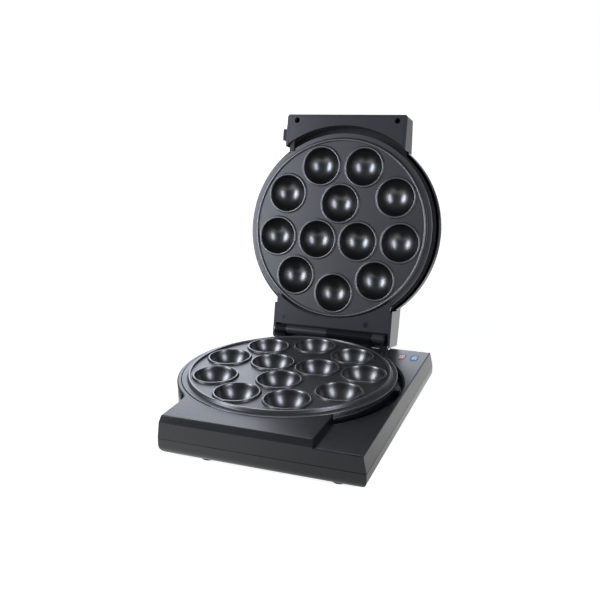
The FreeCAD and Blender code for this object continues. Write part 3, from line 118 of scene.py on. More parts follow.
class Graph:
    """The node tree of one material or world, built through a single method."""

    def __init__(self, tree: bpy.types.NodeTree) -> None:
        """Empty the tree.

        Args:
            tree: the node tree to fill.
        """
        self.tree = tree
        self.tree.nodes.clear()

    def node(self, kind: str, settings: Optional[Dict[str, Any]] = None,
             inputs: Optional[Dict[Union[int, str], Any]] = None, output: Union[int, str] = 0) -> Wire:
        """Add a node, apply its settings, then fill its sockets.

        Args:
            kind: Blender's name of the node's type.
            settings: attributes to set first; "stops" holds a ramp's (position, colour) pairs.
            inputs: values or wires, by socket.
            output: the socket to hand back.

        Returns:
            The chosen output as a wire.
        """
        made = self.tree.nodes.new(kind)
        for name, value in (settings or {}).items():
            if name == "stops":
                self._set_stops(made.color_ramp, value)
            else:
                setattr(made, name, value)
        for key, value in (inputs or {}).items():
            if isinstance(value, Wire):
                self.tree.links.new(value.socket, made.inputs[key])
            else:
                made.inputs[key].default_value = value
        return Wire(self, made.outputs[output]) if len(made.outputs) else Wire(self, None)

    @staticmethod
    def _set_stops(ramp: bpy.types.ColorRamp, stops: Sequence[Tuple[float, float]]) -> None:
        """Put grey stops on a colour ramp.

        Args:
            ramp: the ramp.
            stops: pairs of position and grey level.
        """
        while len(ramp.elements) > 1:
            ramp.elements.remove(ramp.elements[-1])
        for index, (position, level) in enumerate(stops):
            element = ramp.elements[0] if index == 0 else ramp.elements.new(position)
            element.position = position
            element.color = (level, level, level, 1.0)

    def place(self, stretch: Point = (1.0, 1.0, 1.0)) -> Wire:
        """Object coordinates, stretched.

        Args:
            stretch: factor along each axis.

        Returns:
            The coordinates.
        """
        spot = self.node("ShaderNodeTexCoord", output="Object")
        return self.node("ShaderNodeMapping", {}, {"Vector": spot, "Scale": stretch})

    def noise(self, scale: float, detail: float = 2.0, stretch: Point = (1.0, 1.0, 1.0)) -> Wire:
        """Soft noise from 0 to 1.

        Args:
            scale: cells in a metre.
            detail: octaves.
            stretch: factor along each axis.

        Returns:
            The noise's value.
        """
        return self.node("ShaderNodeTexNoise", {},
                         {"Vector": self.place(stretch), "Scale": scale, "Detail": detail})

    def ramp(self, value: Wire, stops: Sequence[Tuple[float, float]]) -> Wire:
        """Run a value through a grey ramp.

        Args:
            value: from 0 to 1.
            stops: pairs of position and grey level.

        Returns:
            The grey level.
        """
        return self.node("ShaderNodeValToRGB", {"stops": stops}, {"Fac": value}, "Color")

    def blend(self, factor: Any, first: Any, second: Any) -> Wire:
        """Mix two colours.

        Args:
            factor: share of the second.
            first: a colour or wire.
            second: a colour or wire.

        Returns:
            The mixed colour.
        """
        def full(value: Any) -> Any:
            """Give a plain colour its fourth number."""
            return value if isinstance(value, Wire) else (*value, 1.0)
        return self.node("ShaderNodeMix", {"data_type": "RGBA"},
                         {0: factor, 6: full(first), 7: full(second)}, 2)

    def lobe(self, way: Wire, axis: Point, power: float) -> Wire:
        """A soft spot of light round an axis.

        Args:
            way: the direction looked in.
            axis: the spot's middle, a unit vector.
            power: how narrow the spot is.

        Returns:
            From 0 to 1 at the middle.
        """
        along = self.node("ShaderNodeVectorMath", {"operation": "DOT_PRODUCT"}, {0: way, 1: axis}, "Value")
        return along.at_least(0.0).power(power)

    def bump(self, height: Wire, depth: float, normal: Optional[Wire] = None) -> Wire:
        """Turn a height into a normal.

        Args:
            height: from 0 to 1.
            depth: what 1 stands for, in metres.
            normal: a normal to start from.

        Returns:
            The bumped normal.
        """
        inputs: Dict[Union[int, str], Any] = {"Height": height, "Distance": depth, "Strength": 1.0}
        if normal is not None:
            inputs["Normal"] = normal
        return self.node("ShaderNodeBump", {}, inputs)


# ------------------------------------------------------------------ finishes
HINGE_LINE: Tuple[float, float] = tuple(next(
    joint["pos_m"][1:] for joint in frame["joints"] if joint["name"] == "lid_hinge"))


class Texture(Enum):
    """What a finish feels like up close."""

    GRAIN = "fine moulded grain"
    POLISHED = "mirror-smooth moulding"
    COATED = "sprayed non-stick coat"
    BRUSHED = "brushed or drawn metal"
    RUBBER = "moulded rubber"
    LENS = "tinted lens"
    CERAMIC = "pressed ceramic"


@dataclass(frozen=True)
class Finish:
    """One procedural finish.

    Attributes:
        name: material name.
        colour: main colour.
        second: colour that the main one drifts to.
        roughness: mean roughness.
        metallic: metal share.
        coat: clear coat.
        texture: kind of surface.
        edge: radius of the softened edges.
        ior: how strongly a face-on surface mirrors.
        barrel: roughness of the part that wraps the hinge pin, or 0 where there is none.
    """

    name: str
    colour: Colour
    second: Colour
    roughness: float
    texture: Texture
    metallic: float = 0.0
    coat: float = 0.0
    edge: float = 0.0
    ior: float = 1.5
    barrel: float = 0.0

    def material(self) -> bpy.types.Material:
        """Build the material, or hand back the one already built."""
        made = bpy.data.materials.get(self.name)
        if made is not None:
            return made
        made = bpy.data.materials.new(self.name)
        made.use_nodes = True
        graph = Graph(made.node_tree)
        drift = graph.ramp(graph.noise(14.0, 3.0), ((0.35, 0.0), (0.7, 1.0)))
        colour = graph.blend(drift, self.colour, self.second)
        roughness, height, depth = self._surface(graph)
        if self.barrel > 0.0:
            around = graph.node("ShaderNodeVectorMath", {"operation": "SUBTRACT"},
                                {0: graph.place((0.0, 1.0, 1.0)), 1: (0.0, *HINGE_LINE)})
            off = graph.node("ShaderNodeVectorMath", {"operation": "LENGTH"}, {0: around}, "Value")
            wrapped = graph.ramp(off * 50.0, ((0.36, 1.0), (0.39, 0.0)))
            roughness = roughness + wrapped * (self.barrel - roughness)
        soft = None
        if self.edge > 0.0:
            soft = graph.node("ShaderNodeBevel", {"samples": 4}, {"Radius": self.edge})
        inputs = {"Base Color": colour, "Roughness": roughness, "Metallic": self.metallic,
                  "Coat Weight": self.coat, "Coat Roughness": 0.05, "IOR": self.ior,
                  "Normal": graph.bump(height, depth, soft)}
        if self.texture is Texture.LENS:
            inputs["Emission Color"] = (*self.second, 1.0)
            inputs["Emission Strength"] = 0.08
        shader = graph.node("ShaderNodeBsdfPrincipled", {}, inputs)
        graph.node("ShaderNodeOutputMaterial", {}, {"Surface": shader})
        return made

    def _surface(self, graph: Graph) -> Tuple[Wire, Wire, float]:
        """Roughness, height and depth of the surface.

        Args:
            graph: the material's graph.

        Returns:
            The roughness, a height from 0 to 1 and the depth that 1 stands for.
        """
        patches = graph.noise(22.0, 3.0)
        if self.texture is Texture.GRAIN:
            fine = graph.noise(2600.0, 1.0)
            return self.roughness + (patches - 0.5) * 0.10 + (fine - 0.5) * 0.06, fine, 0.000004
        if self.texture is Texture.POLISHED:
            wave = graph.noise(160.0, 1.0)
            dust = graph.ramp(graph.noise(900.0, 2.0), ((0.66, 0.0), (0.78, 1.0)))
            return self.roughness + patches * 0.03 + dust * 0.08, wave, 0.000004
        if self.texture is Texture.COATED:
            fleck = graph.noise(3200.0, 2.0)
            return self.roughness + (patches - 0.5) * 0.06 + (fleck - 0.5) * 0.04, fleck, 0.000001
        if self.texture is Texture.BRUSHED:
            streak = graph.noise(900.0, 2.0, (0.04, 1.0, 1.0))
            return self.roughness + (streak - 0.5) * 0.25, streak, 0.00001
        if self.texture is Texture.RUBBER:
            fine = graph.noise(1500.0, 2.0)
            return self.roughness + (patches - 0.5) * 0.1, fine, 0.00005
        if self.texture is Texture.LENS:
            fine = graph.noise(700.0, 1.0)
            return self.roughness + fine * 0.05, fine, 0.00001
        fine = graph.noise(1200.0, 2.0)
        return self.roughness + (fine - 0.5) * 0.1, fine, 0.00004


SHELL_BLACK = Finish("shell_black", (0.005, 0.005, 0.006), (0.007, 0.007, 0.008),
                     0.29, Texture.GRAIN, edge=0.0006, barrel=0.12)
LOWER_BLACK = Finish("lower_black", (0.008, 0.008, 0.009), (0.010, 0.010, 0.011),
                     0.30, Texture.GRAIN, edge=0.0005)
BAND_BLACK = Finish("band_black", (0.018, 0.018, 0.020), (0.021, 0.021, 0.023),
                    0.34, Texture.GRAIN, edge=0.0005)
LINER_BLACK = Finish("liner_black", (0.010, 0.010, 0.011), (0.012, 0.012, 0.013),
                     0.30, Texture.GRAIN, edge=0.0006, barrel=0.12)
DOME_BLACK = Finish("dome_gloss", (0.008, 0.008, 0.009), (0.010, 0.010, 0.011),
                    0.09, Texture.POLISHED, ior=1.7)
NONSTICK = Finish("nonstick", (0.016, 0.017, 0.018), (0.020, 0.021, 0.022), 0.30, Texture.COATED)
FACE_COAT = Finish("face_coat", (0.026, 0.0265, 0.028), (0.031, 0.0315, 0.033), 0.34, Texture.COATED, ior=1.6)
# Near-black colour is painted shade in the bowls' hollows.
BOWL_SHADE_COAT = Finish("bowl_painted_shade", (0.002, 0.002, 0.002), (0.003, 0.003, 0.003), 0.31, Texture.COATED, ior=2.2)
# Lighter colour: a painted highlight along the bowl crests and the plate's outer ledge.
CREST_HIGHLIGHT_COAT = Finish("crest_painted_highlight", (0.060, 0.062, 0.066), (0.075, 0.077, 0.082), 0.24, Texture.COATED, ior=2.0)
SLIDER_BLACK = Finish("slider_black", (0.016, 0.016, 0.018), (0.02, 0.02, 0.022),
                      0.42, Texture.GRAIN, edge=0.0003)
PAN_STEEL = Finish("pan_steel", (0.55, 0.55, 0.56), (0.48, 0.48, 0.49), 0.36, Texture.BRUSHED, metallic=1.0)
SHEATH_STEEL = Finish("sheath_steel", (0.30, 0.28, 0.27), (0.20, 0.19, 0.19),
                      0.45, Texture.BRUSHED, metallic=1.0)
CLIP_STEEL = Finish("clip_steel", (0.45, 0.45, 0.46), (0.38, 0.37, 0.37), 0.33, Texture.BRUSHED, metallic=1.0)
SCREW_STEEL = Finish("screw_steel", (0.36, 0.36, 0.38), (0.28, 0.28, 0.29),
                     0.34, Texture.BRUSHED, metallic=1.0)
BLACK_STEEL = Finish("blackened_steel", (0.05, 0.05, 0.052), (0.035, 0.035, 0.036),
                     0.4, Texture.BRUSHED, metallic=1.0)
PIN_STEEL = Finish("pin_steel", (0.42, 0.42, 0.43), (0.36, 0.36, 0.37), 0.26, Texture.BRUSHED, metallic=1.0)
FOOT_RUBBER = Finish("foot_rubber", (0.012, 0.012, 0.012), (0.018, 0.018, 0.018), 0.7, Texture.RUBBER)
LENS_RED = Finish("lens_red", (0.36, 0.13, 0.15), (0.44, 0.18, 0.21), 0.16, Texture.LENS, coat=0.3)
LENS_BLUE = Finish("lens_blue", (0.09, 0.25, 0.58), (0.12, 0.31, 0.66), 0.16, Texture.LENS, coat=0.3)
HOLDER_WHITE = Finish("holder_white", (0.55, 0.55, 0.52), (0.5, 0.5, 0.47), 0.5, Texture.GRAIN)
CERAMIC = Finish("terminal_ceramic", (0.62, 0.60, 0.56), (0.56, 0.54, 0.50), 0.35, Texture.CERAMIC)

NODE_FINISHES: Dict[str, Finish] = {
    "base_bottom_shell": LOWER_BLACK,
    "base_top_shell": SHELL_BLACK,
    "rubber_feet": FOOT_RUBBER,
    "base_screws": SCREW_STEEL,
    "lower_heat_shield": PAN_STEEL,
    "lower_heating_element": SHEATH_STEEL,
    "lower_element_clips": CLIP_STEEL,
    "lower_thermostat": CLIP_STEEL,
    "lower_baking_plate": NONSTICK,
    "lower_plate_latch": SLIDER_BLACK,
    "heating_lamp_lens": LENS_RED,
    "ready_lamp_lens": LENS_BLUE,
    "lamp_holder": HOLDER_WHITE,
    "terminal_block": CERAMIC,
    "thermal_fuse": CLIP_STEEL,
    "cord_gland": FOOT_RUBBER,
    "hinge_pin": PIN_STEEL,
    "lid_band": BAND_BLACK,
    "lid_dome": DOME_BLACK,
    "lid_liner": LINER_BLACK,
    "upper_heat_shield": PAN_STEEL,
    "upper_heating_element": SHEATH_STEEL,
    "upper_element_clips": CLIP_STEEL,
    "upper_thermostat": CLIP_STEEL,
    "upper_baking_plate": NONSTICK,
    "upper_plate_slider": SLIDER_BLACK,
    "lid_screws": BLACK_STEEL,
}


def dress(piece: bpy.types.Object, finish: Finish) -> None:
    """Give a piece its finish in every material slot.

    Args:
        piece: the object.
        finish: what it is made of.
    """
    material = finish.material()
    if not piece.material_slots:
        piece.data.materials.append(material)
    for slot in piece.material_slots:
        slot.material = material


# ------------------------------------------------------------------ layout
class Layout:
    """Where the drawing's axes lie in the frame: base, and lid at its open stop."""

    def __init__(self) -> None:
        """Read the plate's axis and the hinge from the frame."""
        low, high = (Vector(corner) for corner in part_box("lower_baking_plate"))
        middle = (low + high) / 2
        hinge = next(joint for joint in frame["joints"] if joint["name"] == "lid_hinge")
        self.crest = high.z
        self.base = Matrix.Translation((middle.x, middle.y, 0.0))
        pivot = self.base.inverted() @ Vector((hinge["pos_m"]))
        turn = Matrix.Rotation(-math.radians(hinge["range_deg"][1]), 4, "X")
        self.lid = self.base @ Matrix.Translation(pivot) @ turn @ Matrix.Translation(-pivot)


LAYOUT = Layout()
PLATE_GAP = 0.4 * MM


# ------------------------------------------------------------------ modelling by hand
def edit(piece: bpy.types.Object, select: bool = True) -> None:
    """Open a piece alone in edit mode.

    Args:
        piece: the object.
        select: whether all of it is selected.
    """
    if bpy.context.object is not None and bpy.context.object.mode != "OBJECT":
        bpy.ops.object.mode_set(mode="OBJECT")
    bpy.ops.object.select_all(action="DESELECT")
    piece.select_set(True)
    bpy.context.view_layer.objects.active = piece
    bpy.ops.object.mode_set(mode="EDIT")
    bpy.ops.mesh.select_all(action="SELECT" if select else "DESELECT")


def leave() -> bpy.types.Object:
    """Close edit mode and hand back the piece."""
    bpy.ops.object.mode_set(mode="OBJECT")
    return bpy.context.object


def settle(piece: bpy.types.Object, name: str) -> bpy.types.Object:
    """Name a piece and put its place into its mesh.

    Args:
        piece: the object.
        name: its name.

    Returns:
        The same object, at the origin.
    """
    piece.name = name
    piece.data.name = name
    bpy.ops.object.select_all(action="DESELECT")
    piece.select_set(True)
    bpy.context.view_layer.objects.active = piece
    bpy.ops.object.transform_apply(location=True, rotation=True, scale=True)
    return piece


def move_mesh(piece: bpy.types.Object, place: Matrix) -> None:
    """Move the mesh itself and leave the object where it is."""
    piece.data.transform(place)
    piece.data.update()


def copy_of(piece: bpy.types.Object, place: Matrix) -> bpy.types.Object:
    """A copy with its own mesh, moved.

    Args:
        piece: the object to copy.
        place: where the copy's mesh goes.

    Returns:
        The copy.
    """
    twin = piece.copy()
    twin.data = piece.data.copy()
    bpy.context.collection.objects.link(twin)
    move_mesh(twin, place)
    return twin


def join(pieces: Sequence[bpy.types.Object], name: str) -> bpy.types.Object:
    """Join pieces into the first one.

    Args:
        pieces: the objects.
        name: the joined object's name.

    Returns:
        The joined object.
    """
    bpy.ops.object.select_all(action="DESELECT")
    for piece in pieces:
        piece.select_set(True)
    bpy.context.view_layer.objects.active = pieces[0]
    bpy.ops.object.join()
    return settle(bpy.context.object, name)


def modify(piece: bpy.types.Object, kind: str, **settings: Any) -> None:
    """Add a modifier and apply it.

    Args:
        piece: the object.
        kind: the modifier's type.
        settings: its settings.
    """
    bpy.ops.object.select_all(action="DESELECT")
    piece.select_set(True)
    bpy.context.view_layer.objects.active = piece
    modifier = piece.modifiers.new(kind.lower(), kind)
    for key, value in settings.items():
        setattr(modifier, key, value)
    bpy.ops.object.modifier_apply(modifier=modifier.name)


def smooth(piece: bpy.types.Object, degrees: float = 35.0) -> None:
    """Smooth shading up to an angle, with the larger faces leading.

    Args:
        piece: the object.
        degrees: edges sharper than this stay sharp.
    """
    bpy.ops.object.select_all(action="DESELECT")
    piece.select_set(True)
    bpy.context.view_layer.objects.active = piece
    bpy.ops.object.shade_smooth_by_angle(angle=math.radians(degrees))
    modify(piece, "WEIGHTED_NORMAL", keep_sharp=True)


def outward(piece: bpy.types.Object, weld: float = 0.000005) -> None:
    """Merge doubles and point all faces outwards."""
    edit(piece)
    bpy.ops.mesh.remove_doubles(threshold=weld)
    bpy.ops.mesh.normals_make_consistent(inside=False)
    leave()


def lathe(name: str, profile: Sequence[Tuple[float, float]], segments: int,
          closed: bool = False) -> bpy.types.Object:
    """A round piece: a circle drawn out ring by ring along a profile about Z.

    Args:
        name: the piece's name.
        profile: radius and height of each ring; a last radius of 0 closes the pole.
        segments: points in each ring.
        closed: whether the last ring is bridged to the first.

    Returns:
        The piece.
    """
    radius, height = profile[0]
    bpy.ops.mesh.primitive_circle_add(vertices=segments, radius=radius, location=(0.0, 0.0, height))
    piece = settle(bpy.context.object, name)
    edit(piece)
    for next_radius, next_height in profile[1:]:
        bpy.ops.mesh.extrude_edges_move()
        if next_radius == 0.0:
            bpy.ops.mesh.merge(type="CENTER")
        else:
            scale = next_radius / radius
            bpy.ops.transform.resize(value=(scale, scale, 1.0), center_override=(0.0, 0.0, height))
        bpy.ops.transform.translate(value=(0.0, 0.0, next_height - height))
        radius, height = next_radius, next_height
    if closed:
        bpy.ops.mesh.select_all(action="SELECT")
        bpy.ops.mesh.remove_doubles(threshold=0.000002)
    leave()
    return piece


# ------------------------------------------------------------------ baking plates
@dataclass
class BakingPlate:
    """One cast plate with its edge, lip and bowls, drawn face up about its own axis.

    Heights are counted from the crest of the edge.
    """

    name: str
    node: str
    body: str
    place: Matrix
    face_depth: float = 2.0 * MM
    bowl_radius: float = 20.0 * MM
    outer_pitch: float = 72.6 * MM
    inner_pitch: float = 27.3 * MM
    wall: float = 1.2 * MM
    skirt_gap: float = 0.0
    latch_turn: float = math.radians(-135.5)
    bowl_steps: int = 14

    def build(self) -> bpy.types.Object:
        """Model the plate and put it in place."""
        sheet = self._sheet()
        modify(sheet, "SOLIDIFY", thickness=self.wall, offset=-1.0)
        plate = join([sheet, self._skirt()], self.name)
        dress(plate, FACE_COAT)
        self._coat_bowls(plate)
        move_mesh(plate, self.place)
        smooth(plate, 50.0)
        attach(plate, self.body)
        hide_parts(self.node)
        return plate

    def _coat_bowls(self, plate: bpy.types.Object) -> None:
        """Give the hollows a smoother coat darkened as painted shade, and the crests a lighter coat as a
        painted highlight.

        Args:
            plate: the plate, still about its own axis.
        """
        plate.data.materials.append(BOWL_SHADE_COAT.material())
        plate.data.materials.append(CREST_HIGHLIGHT_COAT.material())
        centres = [Vector((x, y, 0.0)) for x, y in self._bowl_centres()]
        for polygon in plate.data.polygons:
            spot = polygon.center
            rim = math.hypot(spot.x, spot.y) > 104.6 * MM and polygon.normal.z > 0.2
            # Crests and the outer ledge take the lighter coat, a painted highlight.
            if spot.z > -0.5 * MM or rim:
                polygon.material_index = 2
            # Hollows take the near-black coat, painted shade.
            hollow = spot.z < -0.25 * MM and min((spot - Vector((c.x, c.y, spot.z))).length for c in centres)
            if hollow and hollow < self.bowl_radius + 0.7 * MM:
                polygon.material_index = 1

    def _bowl_centres(self) -> List[Tuple[float, float]]:
        """The middles of the bowls: nine outside, three inside."""
        centres = []
        for count, pitch, start in ((9, self.outer_pitch, 90.0), (3, self.inner_pitch, 270.0)):
            for index in range(count):
                angle = math.radians(start + 360.0 * index / count)
                centres.append((pitch * math.cos(angle), pitch * math.sin(angle)))
        return centres

    def _sheet(self) -> bpy.types.Object:
        """The upper surface: edge and lip, bowls, and the cooking face between them."""
        face = -self.face_depth
        edge = lathe("edge", [(r * MM, z * MM) for r, z in (
            (96.05, -2.0), (96.25, -1.95), (96.5, -1.75), (96.65, -1.4), (96.8, -0.6),
            (97.0, -0.25), (97.3, -0.06), (97.7, 0.0), (98.2, -0.02), (98.6, -0.2),
            (98.85, -0.6), (99.6, -2.6), (99.8, -3.1), (100.2, -3.35), (100.8, -3.4),
            (104.6, -3.4), (104.9, -3.48), (105.08, -3.7), (105.1, -4.0), (105.1, -4.7))], 192)
        bowl = lathe("bowl", self._bowl_profile(), 64)
        bowls = [copy_of(bowl, Matrix.Translation((x, y, 0.0))) for x, y in self._bowl_centres()]
        bpy.data.objects.remove(bowl)
        sheet = join([edge] + bowls, "sheet")
        edit(sheet, False)
        leave()
        open_count: Dict[Tuple[int, int], int] = {}
        for polygon in sheet.data.polygons:
            for key in polygon.edge_keys:
                open_count[key] = open_count.get(key, 0) + 1
        for line in sheet.data.edges:
            ends = [sheet.data.vertices[index].co.z for index in line.vertices]
            line.select = open_count[line.key] == 1 and all(abs(z - face) < 0.01 * MM for z in ends)
        bpy.ops.object.mode_set(mode="EDIT")
        bpy.ops.mesh.select_mode(type="EDGE")
        bpy.ops.mesh.fill(use_beauty=True)
        bpy.ops.mesh.select_mode(type="VERT")
        bpy.ops.mesh.select_all(action="SELECT")
        bpy.ops.mesh.remove_doubles(threshold=0.000005)
        bpy.ops.mesh.normals_make_consistent(inside=False)
        leave()
        return sheet

    def _bowl_profile(self) -> List[Tuple[float, float]]:
        """Raised rim and half-round hollow of one bowl, from the cooking face inwards."""
        rim = [(23.4, -2.0), (23.0, -1.97), (22.7, -1.8), (22.5, -1.5), (22.35, -0.8),
               (22.2, -0.35), (21.9, -0.1), (21.5, 0.0), (21.0, -0.02), (20.65, -0.15), (20.3, -0.5)]
        profile = [(r * MM, z * MM) for r, z in rim]
        start = math.radians(4.0)
        for step in range(self.bowl_steps):
            angle = start + (math.pi / 2 - start) * step / self.bowl_steps
            profile.append((self.bowl_radius * math.cos(angle), -self.bowl_radius * math.sin(angle)))
        return profile + [(0.0, -self.bowl_radius)]

    def _skirt(self) -> bpy.types.Object:
        """The locating skirt under the plate, open where the latch goes in."""
        inner, outer, top, foot = 96.4 * MM, 98.4 * MM, -3.0 * MM, -9.0 * MM
        if self.skirt_gap == 0.0:
            ring = ((inner, top), (inner, foot), (outer, foot), (outer, top), (inner, top))
            skirt = lathe("skirt", ring, 160, closed=True)
            outward(skirt)
            return skirt
        bpy.ops.mesh.primitive_plane_add(size=1.0)
        skirt = settle(bpy.context.object, "skirt")
        corners = ((inner, foot), (outer, foot), (outer, top), (inner, top))
        order = sorted(skirt.data.vertices, key=lambda v: math.atan2(v.co.y, v.co.x))
        half = math.radians(self.skirt_gap) / 2
        for vertex, (radius, height) in zip(order, corners):
            turn = self.latch_turn + half
            vertex.co = (radius * math.cos(turn), radius * math.sin(turn), height)
        edit(skirt)
        bpy.ops.mesh.spin(steps=160, angle=2 * math.pi - 2 * half, center=(0, 0, 0), axis=(0, 0, 1))
        leave()
        outward(skirt)
        return skirt


def baking_plates() -> List[BakingPlate]:
    """The lower plate and, turned face down onto it, the upper one."""
    crest = Matrix.Translation((0.0, 0.0, LAYOUT.crest))
    mate = Matrix.Translation((0.0, 0.0, LAYOUT.crest + PLATE_GAP))
    face_down = Matrix.Rotation(math.pi, 4, "Y")
    return [
        BakingPlate("lower_plate", "lower_baking_plate", "base", LAYOUT.base @ crest, skirt_gap=5.0),
        BakingPlate("upper_plate", "upper_baking_plate", "lid", LAYOUT.lid @ mate @ face_down),
    ]


# ------------------------------------------------------------------ lid's round cover
@dataclass
class LidCover:
    """The round cover of the lid, counted from the plate's axis with the lid shut.

    It stands in for its node with a thinner sheet, a smaller shoulder and a wider notch than the
    node has. The skirt narrows towards its edge, so that the edge turns to the side.

    Attributes:
        name: the piece's name.
        node: the node it stands in for.
        sheet: how thick the cover is.
        crown_top: height of the crown's middle.
        crown_radius: radius of the crown's curve.
        shoulder: the shoulder's middle (radius, height) and its own radius.
        sweep: how far the shoulder turns, in degrees.
        turns: steps of the shoulder.
        skirt: radius and height along the skirt, from its edge, in millimetres.
        crown_rings: rings of the crown, as shares of the shoulder's middle radius.
        notch: left and right ends of the opening in the skirt.
        notch_top: height of that opening.
        notch_length: how far the opening's cutter reaches along Y.
        notch_depth: how tall the opening's cutter is.
        segments: sides of the round.
    """

    name: str = "dome_cover"
    node: str = "lid_dome"
    sheet: float = 0.7 * MM
    crown_top: float = 81.2 * MM
    crown_radius: float = 540.6 * MM
    shoulder: Point = (105.5 * MM, 65.2 * MM, 6.0 * MM)
    sweep: float = 79.0
    turns: int = 8
    skirt: Tuple[Tuple[float, float], ...] = (
        (110.35, 58.8), (110.45, 59.2), (110.8, 60.6), (111.15, 62.2), (111.38, 63.8))
    crown_rings: Tuple[float, ...] = (0.97, 0.92, 0.84, 0.72, 0.58, 0.44, 0.30, 0.16, 0.06)
    notch: Tuple[float, float] = (-69.4 * MM, 67.0 * MM)
    notch_top: float = 64.4 * MM
    notch_length: float = 0.3
    notch_depth: float = 20 * MM
    segments: int = 192

    def build(self) -> bpy.types.Object:
        """Model the cover and put it in place."""
        cover = lathe(self.name, self._profile(), self.segments)
        outward(cover)
        modify(cover, "SOLIDIFY", thickness=self.sheet, offset=-1.0)
        self._cut_notch(cover)
        dress(cover, DOME_BLACK)
        move_mesh(cover, LAYOUT.lid)
        smooth(cover, 40.0)
        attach(cover, "lid")
        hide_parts(self.node)
        return cover

    def _profile(self) -> List[Tuple[float, float]]:
        """Skirt, shoulder and crown, from the skirt's edge to the middle."""
        profile = [(r * MM, z * MM) for r, z in self.skirt]
        middle, height, radius = self.shoulder
        for step in range(self.turns + 1):
            angle = math.radians(self.sweep) * step / self.turns
            profile.append((middle + radius * math.cos(angle), height + radius * math.sin(angle)))
        for share in self.crown_rings:
            r = middle * share
            drop = self.crown_radius - math.sqrt(self.crown_radius ** 2 - r ** 2)
            profile.append((r, self.crown_top - drop))
        return profile + [(0.0, self.crown_top)]

    def _cut_notch(self, cover: bpy.types.Object) -> None:
        """Open the skirt where the block and the hinge strip join the liner.

        Args:
            cover: the cover about its own axis.
        """
        left, right = self.notch
        middle = ((left + right) / 2, 0.0, self.notch_top - self.notch_depth / 2)
        bpy.ops.mesh.primitive_cube_add(size=1.0, location=middle)
        cutter = bpy.context.object
        cutter.scale = (right - left, self.notch_length, self.notch_depth)
        settle(cutter, "notch_cutter")
        modify(cover, "BOOLEAN", operation="DIFFERENCE", object=cutter, solver="EXACT")
        bpy.data.objects.remove(cutter)


# ------------------------------------------------------------------ lamp lenses
@dataclass
class LampLens:
    """One pilot lamp's lens: a rounded window over a wider flange.

    Attributes:
        name: the piece's name.
        node: the node it stands in for.
        finish: its tint.
        flange: how far the flange stands out on each side, along X and Y.
        window: height of the window over the flange.
        rounding: width of the rounded edges.
        border: width of the border round the window's sunken middle.
        dip: how far that middle is sunk.
    """

    name: str
    node: str
    finish: Finish
    flange: Tuple[float, float] = (0.9 * MM, 1.5 * MM)
    window: float = 2.7 * MM
    rounding: float = 0.5 * MM
    border: float = 0.8 * MM
    dip: float = 0.15 * MM

    def build(self) -> bpy.types.Object:
        """Model the lens inside its node's own box."""
        low, high = (Vector(corner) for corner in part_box(self.node))
        middle = (low + high) / 2
        foot = (middle.x, middle.y, (low.z + high.z - self.window) / 2)
        bpy.ops.mesh.primitive_cube_add(size=1.0, location=foot)
        lens = bpy.context.object
        lens.scale = (high.x - low.x, high.y - low.y, high.z - low.z - self.window)
        settle(lens, self.name)
        edit(lens, False)
        leave()
        for face in lens.data.polygons:
            face.select = face.normal.z > 0.9
        bpy.ops.object.mode_set(mode="EDIT")
        over_x, over_y = self.flange
        size = high - low
        bpy.ops.mesh.extrude_region_move()
        bpy.ops.transform.resize(value=(1 - 2 * over_x / size.x, 1 - 2 * over_y / size.y, 1.0))
        bpy.ops.mesh.extrude_region_move(TRANSFORM_OT_translate={"value": (0.0, 0.0, self.window)})
        bpy.ops.mesh.bevel(offset=self.rounding, segments=4, profile=0.6, affect="EDGES")
        bpy.ops.mesh.inset(thickness=self.border, depth=-self.dip)
        leave()
        outward(lens)
        dress(lens, self.finish)
        smooth(lens, 40.0)
        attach(lens, "base")
        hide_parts(self.node)
        return lens


def lamp_lenses() -> List[LampLens]:
    """The heating lamp's and the ready lamp's lenses."""
    return [LampLens("red_lens", "heating_lamp_lens", LENS_RED),
            LampLens("blue_lens", "ready_lamp_lens", LENS_BLUE)]


# ------------------------------------------------------------------ studio
COOL_WHITE: Colour = (0.84, 0.89, 1.0)


@dataclass
class SoftBox:
    """One elliptical studio lamp.

    Attributes:
        name: the lamp's name.
        place: its middle.
        aim: the point it faces.
        size: width and height.
        watts: its power.
    """

    name: str
    place: Point
    aim: Point
    size: Tuple[float, float]
    watts: float

    def build(self) -> None:
        """Add the lamp."""
        bpy.ops.object.light_add(type="AREA", location=self.place)
        lamp = bpy.context.object
        lamp.name = self.name
        lamp.data.shape = "ELLIPSE"
        lamp.data.size, lamp.data.size_y = self.size
        lamp.data.energy = self.watts
        lamp.data.color = COOL_WHITE
        lamp.rotation_euler = (Vector(self.aim) - Vector(self.place)).to_track_quat("-Z", "Y").to_euler()


